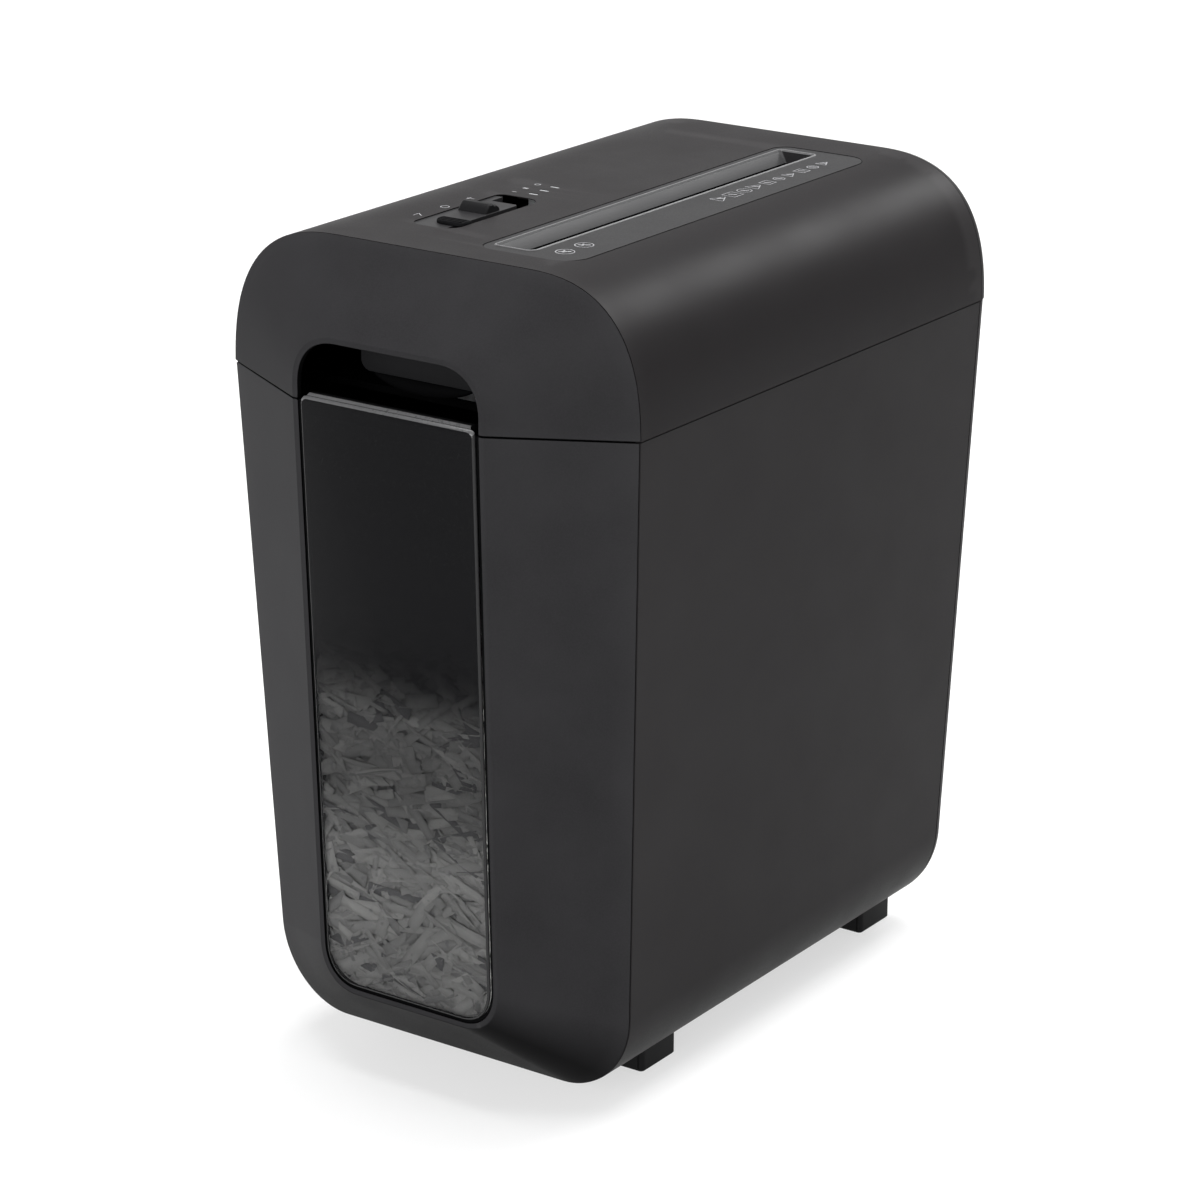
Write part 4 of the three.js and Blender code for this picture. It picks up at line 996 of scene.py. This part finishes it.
def guard():
    x0, x1, top = -32.0, 64.0, 364.0
    shroud = prism_y(
        "cutter_shroud", rounded(x0, x1, GUARD_BOTTOM, top, (3, 3, 5, 3), 6), GUARD_FRONT, GUARD_REAR, GUARD
    )
    hollow = rounded(x0 + GUARD_WALL, x1 - GUARD_WALL, GUARD_BOTTOM - 2, top - GUARD_WALL, 2)
    cut(shroud, prism_y("hollow", hollow, GUARD_FRONT + GUARD_WALL, GUARD_REAR + 1))
    place(soften(shroud, 0.6, 30, 3), "shredder", "black", "cutter_guard")


def guard_lip():
    """The bulging lip under the guard, deepest in the middle."""
    rings = []
    count, arc = 28, 12
    for i in range(count + 1):
        u = i / count
        h = 0.6 + 6.6 * math.sin(math.pi * u) ** 0.65
        x, high = -29 + 53 * u, GUARD_BOTTOM - 1.0
        section = []
        for k in range(arc + 1):
            t = math.pi * k / arc
            y = GUARD_FRONT + 5 - 4.6 * (h / 9) * math.sin(t)
            section.append((x, y, high - h / 2 + h / 2 * math.cos(t)))
        section += [(x, GUARD_REAR - 2, high - h), (x, GUARD_REAR - 2, high)]
        rings.append(section)
    # The lip takes the near-black painted shade.
    lip = mesh_object("cutter_lip", *loft(rings), PAINTED_SHADE)
    place(soften(lip, 0.3, 40), "shredder", "black")


# ------------------------------------------------------------------ inside

MATERIAL_OF = {
    STEEL: ["cutter_end_plate_front", "cutter_end_plate_rear", "gear_axle_first", "gear_axle_second", "motor_housing",
            "motor_rotor", "sync_gear_a", "sync_gear_b", "tie_rod_upper_left", "tie_rod_upper_right",
            "tie_rod_lower_left", "tie_rod_lower_right"],
    CUTTER: ["cutter_roll_a", "cutter_roll_b"],
    NYLON: ["final_drive_gear", "reduction_gear_first", "reduction_gear_second", "cooling_fan"],
    BRASS: ["motor_pinion", "bushing_front_a", "bushing_front_b", "bushing_rear_a", "bushing_rear_b"],
    BOARD: ["control_board"],
    PALE: ["board_capacitor", "interlock_plunger"],
    # The tray under the head is painted in shade.
    PAINTED_SHADE: ["head_base_tray"],
    BLACK: ["gear_cover", "stripper_comb_left", "stripper_comb_right", "control_switch_body",
            "interlock_switch_body", "bin_tub", "bin_rail_left", "bin_rail_right", "paper_lever"],
}


def inside():
    for material, names in MATERIAL_OF.items():
        for name in names:
            obj = NODES[name]
            obj.data.materials.clear()
            obj.data.materials.append(material)
            soften(obj, 0.25, 35)


# ------------------------------------------------------------------ studio

# In metres, watts and degrees.
SOFTBOXES = (  # name, place, target, size, power
    ("top", (0.0, 0.4, 2.6), (0, 0, 0.2), (2.4, 2.4), 135),
    ("left", (-2.5, 0.5, 0.9), (0, 0, 0.3), (1.4, 1.0), 7),
    ("front", (0.3, -2.85, 0.9), (0, 0, 0.2), (1.8, 1.4), 58),
    ("rear", (0.75, 2.4, 2.0), (0, 0, 0.3), (1.5, 0.8), 48),
)
EYE, AZIMUTH, ELEVATION, ROLL, FOCAL = (0.9863, -1.4334, 0.7911), 34.59, 19.03, 0.314, 120.16


def sky(scene):
    """White, brighter near the horizon than overhead."""
    world = bpy.data.worlds.new("studio")
    world.use_nodes = True
    tree = world.node_tree
    where = tree.nodes.new("ShaderNodeTexCoord")
    split = tree.nodes.new("ShaderNodeSeparateXYZ")
    tree.links.new(where.outputs["Generated"], split.inputs[0])
    tree.links.new(ramp(tree, split.outputs[2], 0.95, 0.3, 0.15, 0.8), tree.nodes["Background"].inputs[1])
    tree.nodes["Background"].inputs[0].default_value = (1, 1, 1, 1)
    scene.world = world


def ground():
    """Pale, and glowing a little, so that it renders white."""
    loop = circle(0, 0, 9000, 96)
    floor = mesh_object("floor", at_z(loop, -0.02), [tuple(range(len(loop)))])
    m, _, bsdf, _ = nodes_of("floor")
    bsdf.inputs["Base Color"].default_value = (0.3, 0.3, 0.3, 1)
    bsdf.inputs["Roughness"].default_value = 0.7
    bsdf.inputs["Emission Color"].default_value = (1, 1, 1, 1)
    bsdf.inputs["Emission Strength"].default_value = 0.62
    floor.data.materials.append(m)


def softbox(scene, name, where, target, size, watts):
    data = bpy.data.lights.new(name, "AREA")
    data.shape = "RECTANGLE"
    data.size, data.size_y = size
    data.energy = watts
    light = bpy.data.objects.new(name, data)
    scene.collection.objects.link(light)
    light.location = where
    light.rotation_euler = (Vector(target) - Vector(where)).to_track_quat("-Z", "Y").to_euler()


def camera(scene):
    """At the photograph's viewing angle."""
    data = bpy.data.cameras.new("camera")
    data.lens, data.sensor_width = FOCAL, 36.0
    eye = bpy.data.objects.new("camera", data)
    scene.collection.objects.link(eye)
    az, el, roll = math.radians(AZIMUTH), math.radians(ELEVATION), math.radians(ROLL)
    look = Vector((-math.sin(az) * math.cos(el), math.cos(az) * math.cos(el), -math.sin(el)))
    level = Vector((math.cos(az), math.sin(az), 0))
    upright = level.cross(look)
    right = level * math.cos(roll) + upright * math.sin(roll)
    up = upright * math.cos(roll) - level * math.sin(roll)
    rows = [(right[k], up[k], -look[k], EYE[k]) for k in range(3)]
    eye.matrix_world = Matrix([*rows, (0, 0, 0, 1)])
    scene.camera = eye


def studio():
    scene = bpy.context.scene
    scene.view_settings.view_transform = "Standard"
    sky(scene)
    ground()
    for box in SOFTBOXES:
        softbox(scene, *box)
    camera(scene)


for build in (
    head_cover,
    head_front,
    bin_front,
    cabinet,
    head_rear,
    cabinet_rear,
    rear_screws,
    cord_gland,
    feet,
    entry_bezel,
    slot_outline,
    printed_marks,
    slider,
    knob,
    lock,
    light_pipe,
    window,
    lens_head,
    lens_gasket,
    shreds,
    handle,
    guard,
    guard_lip,
    inside,
    studio,
):
    build()
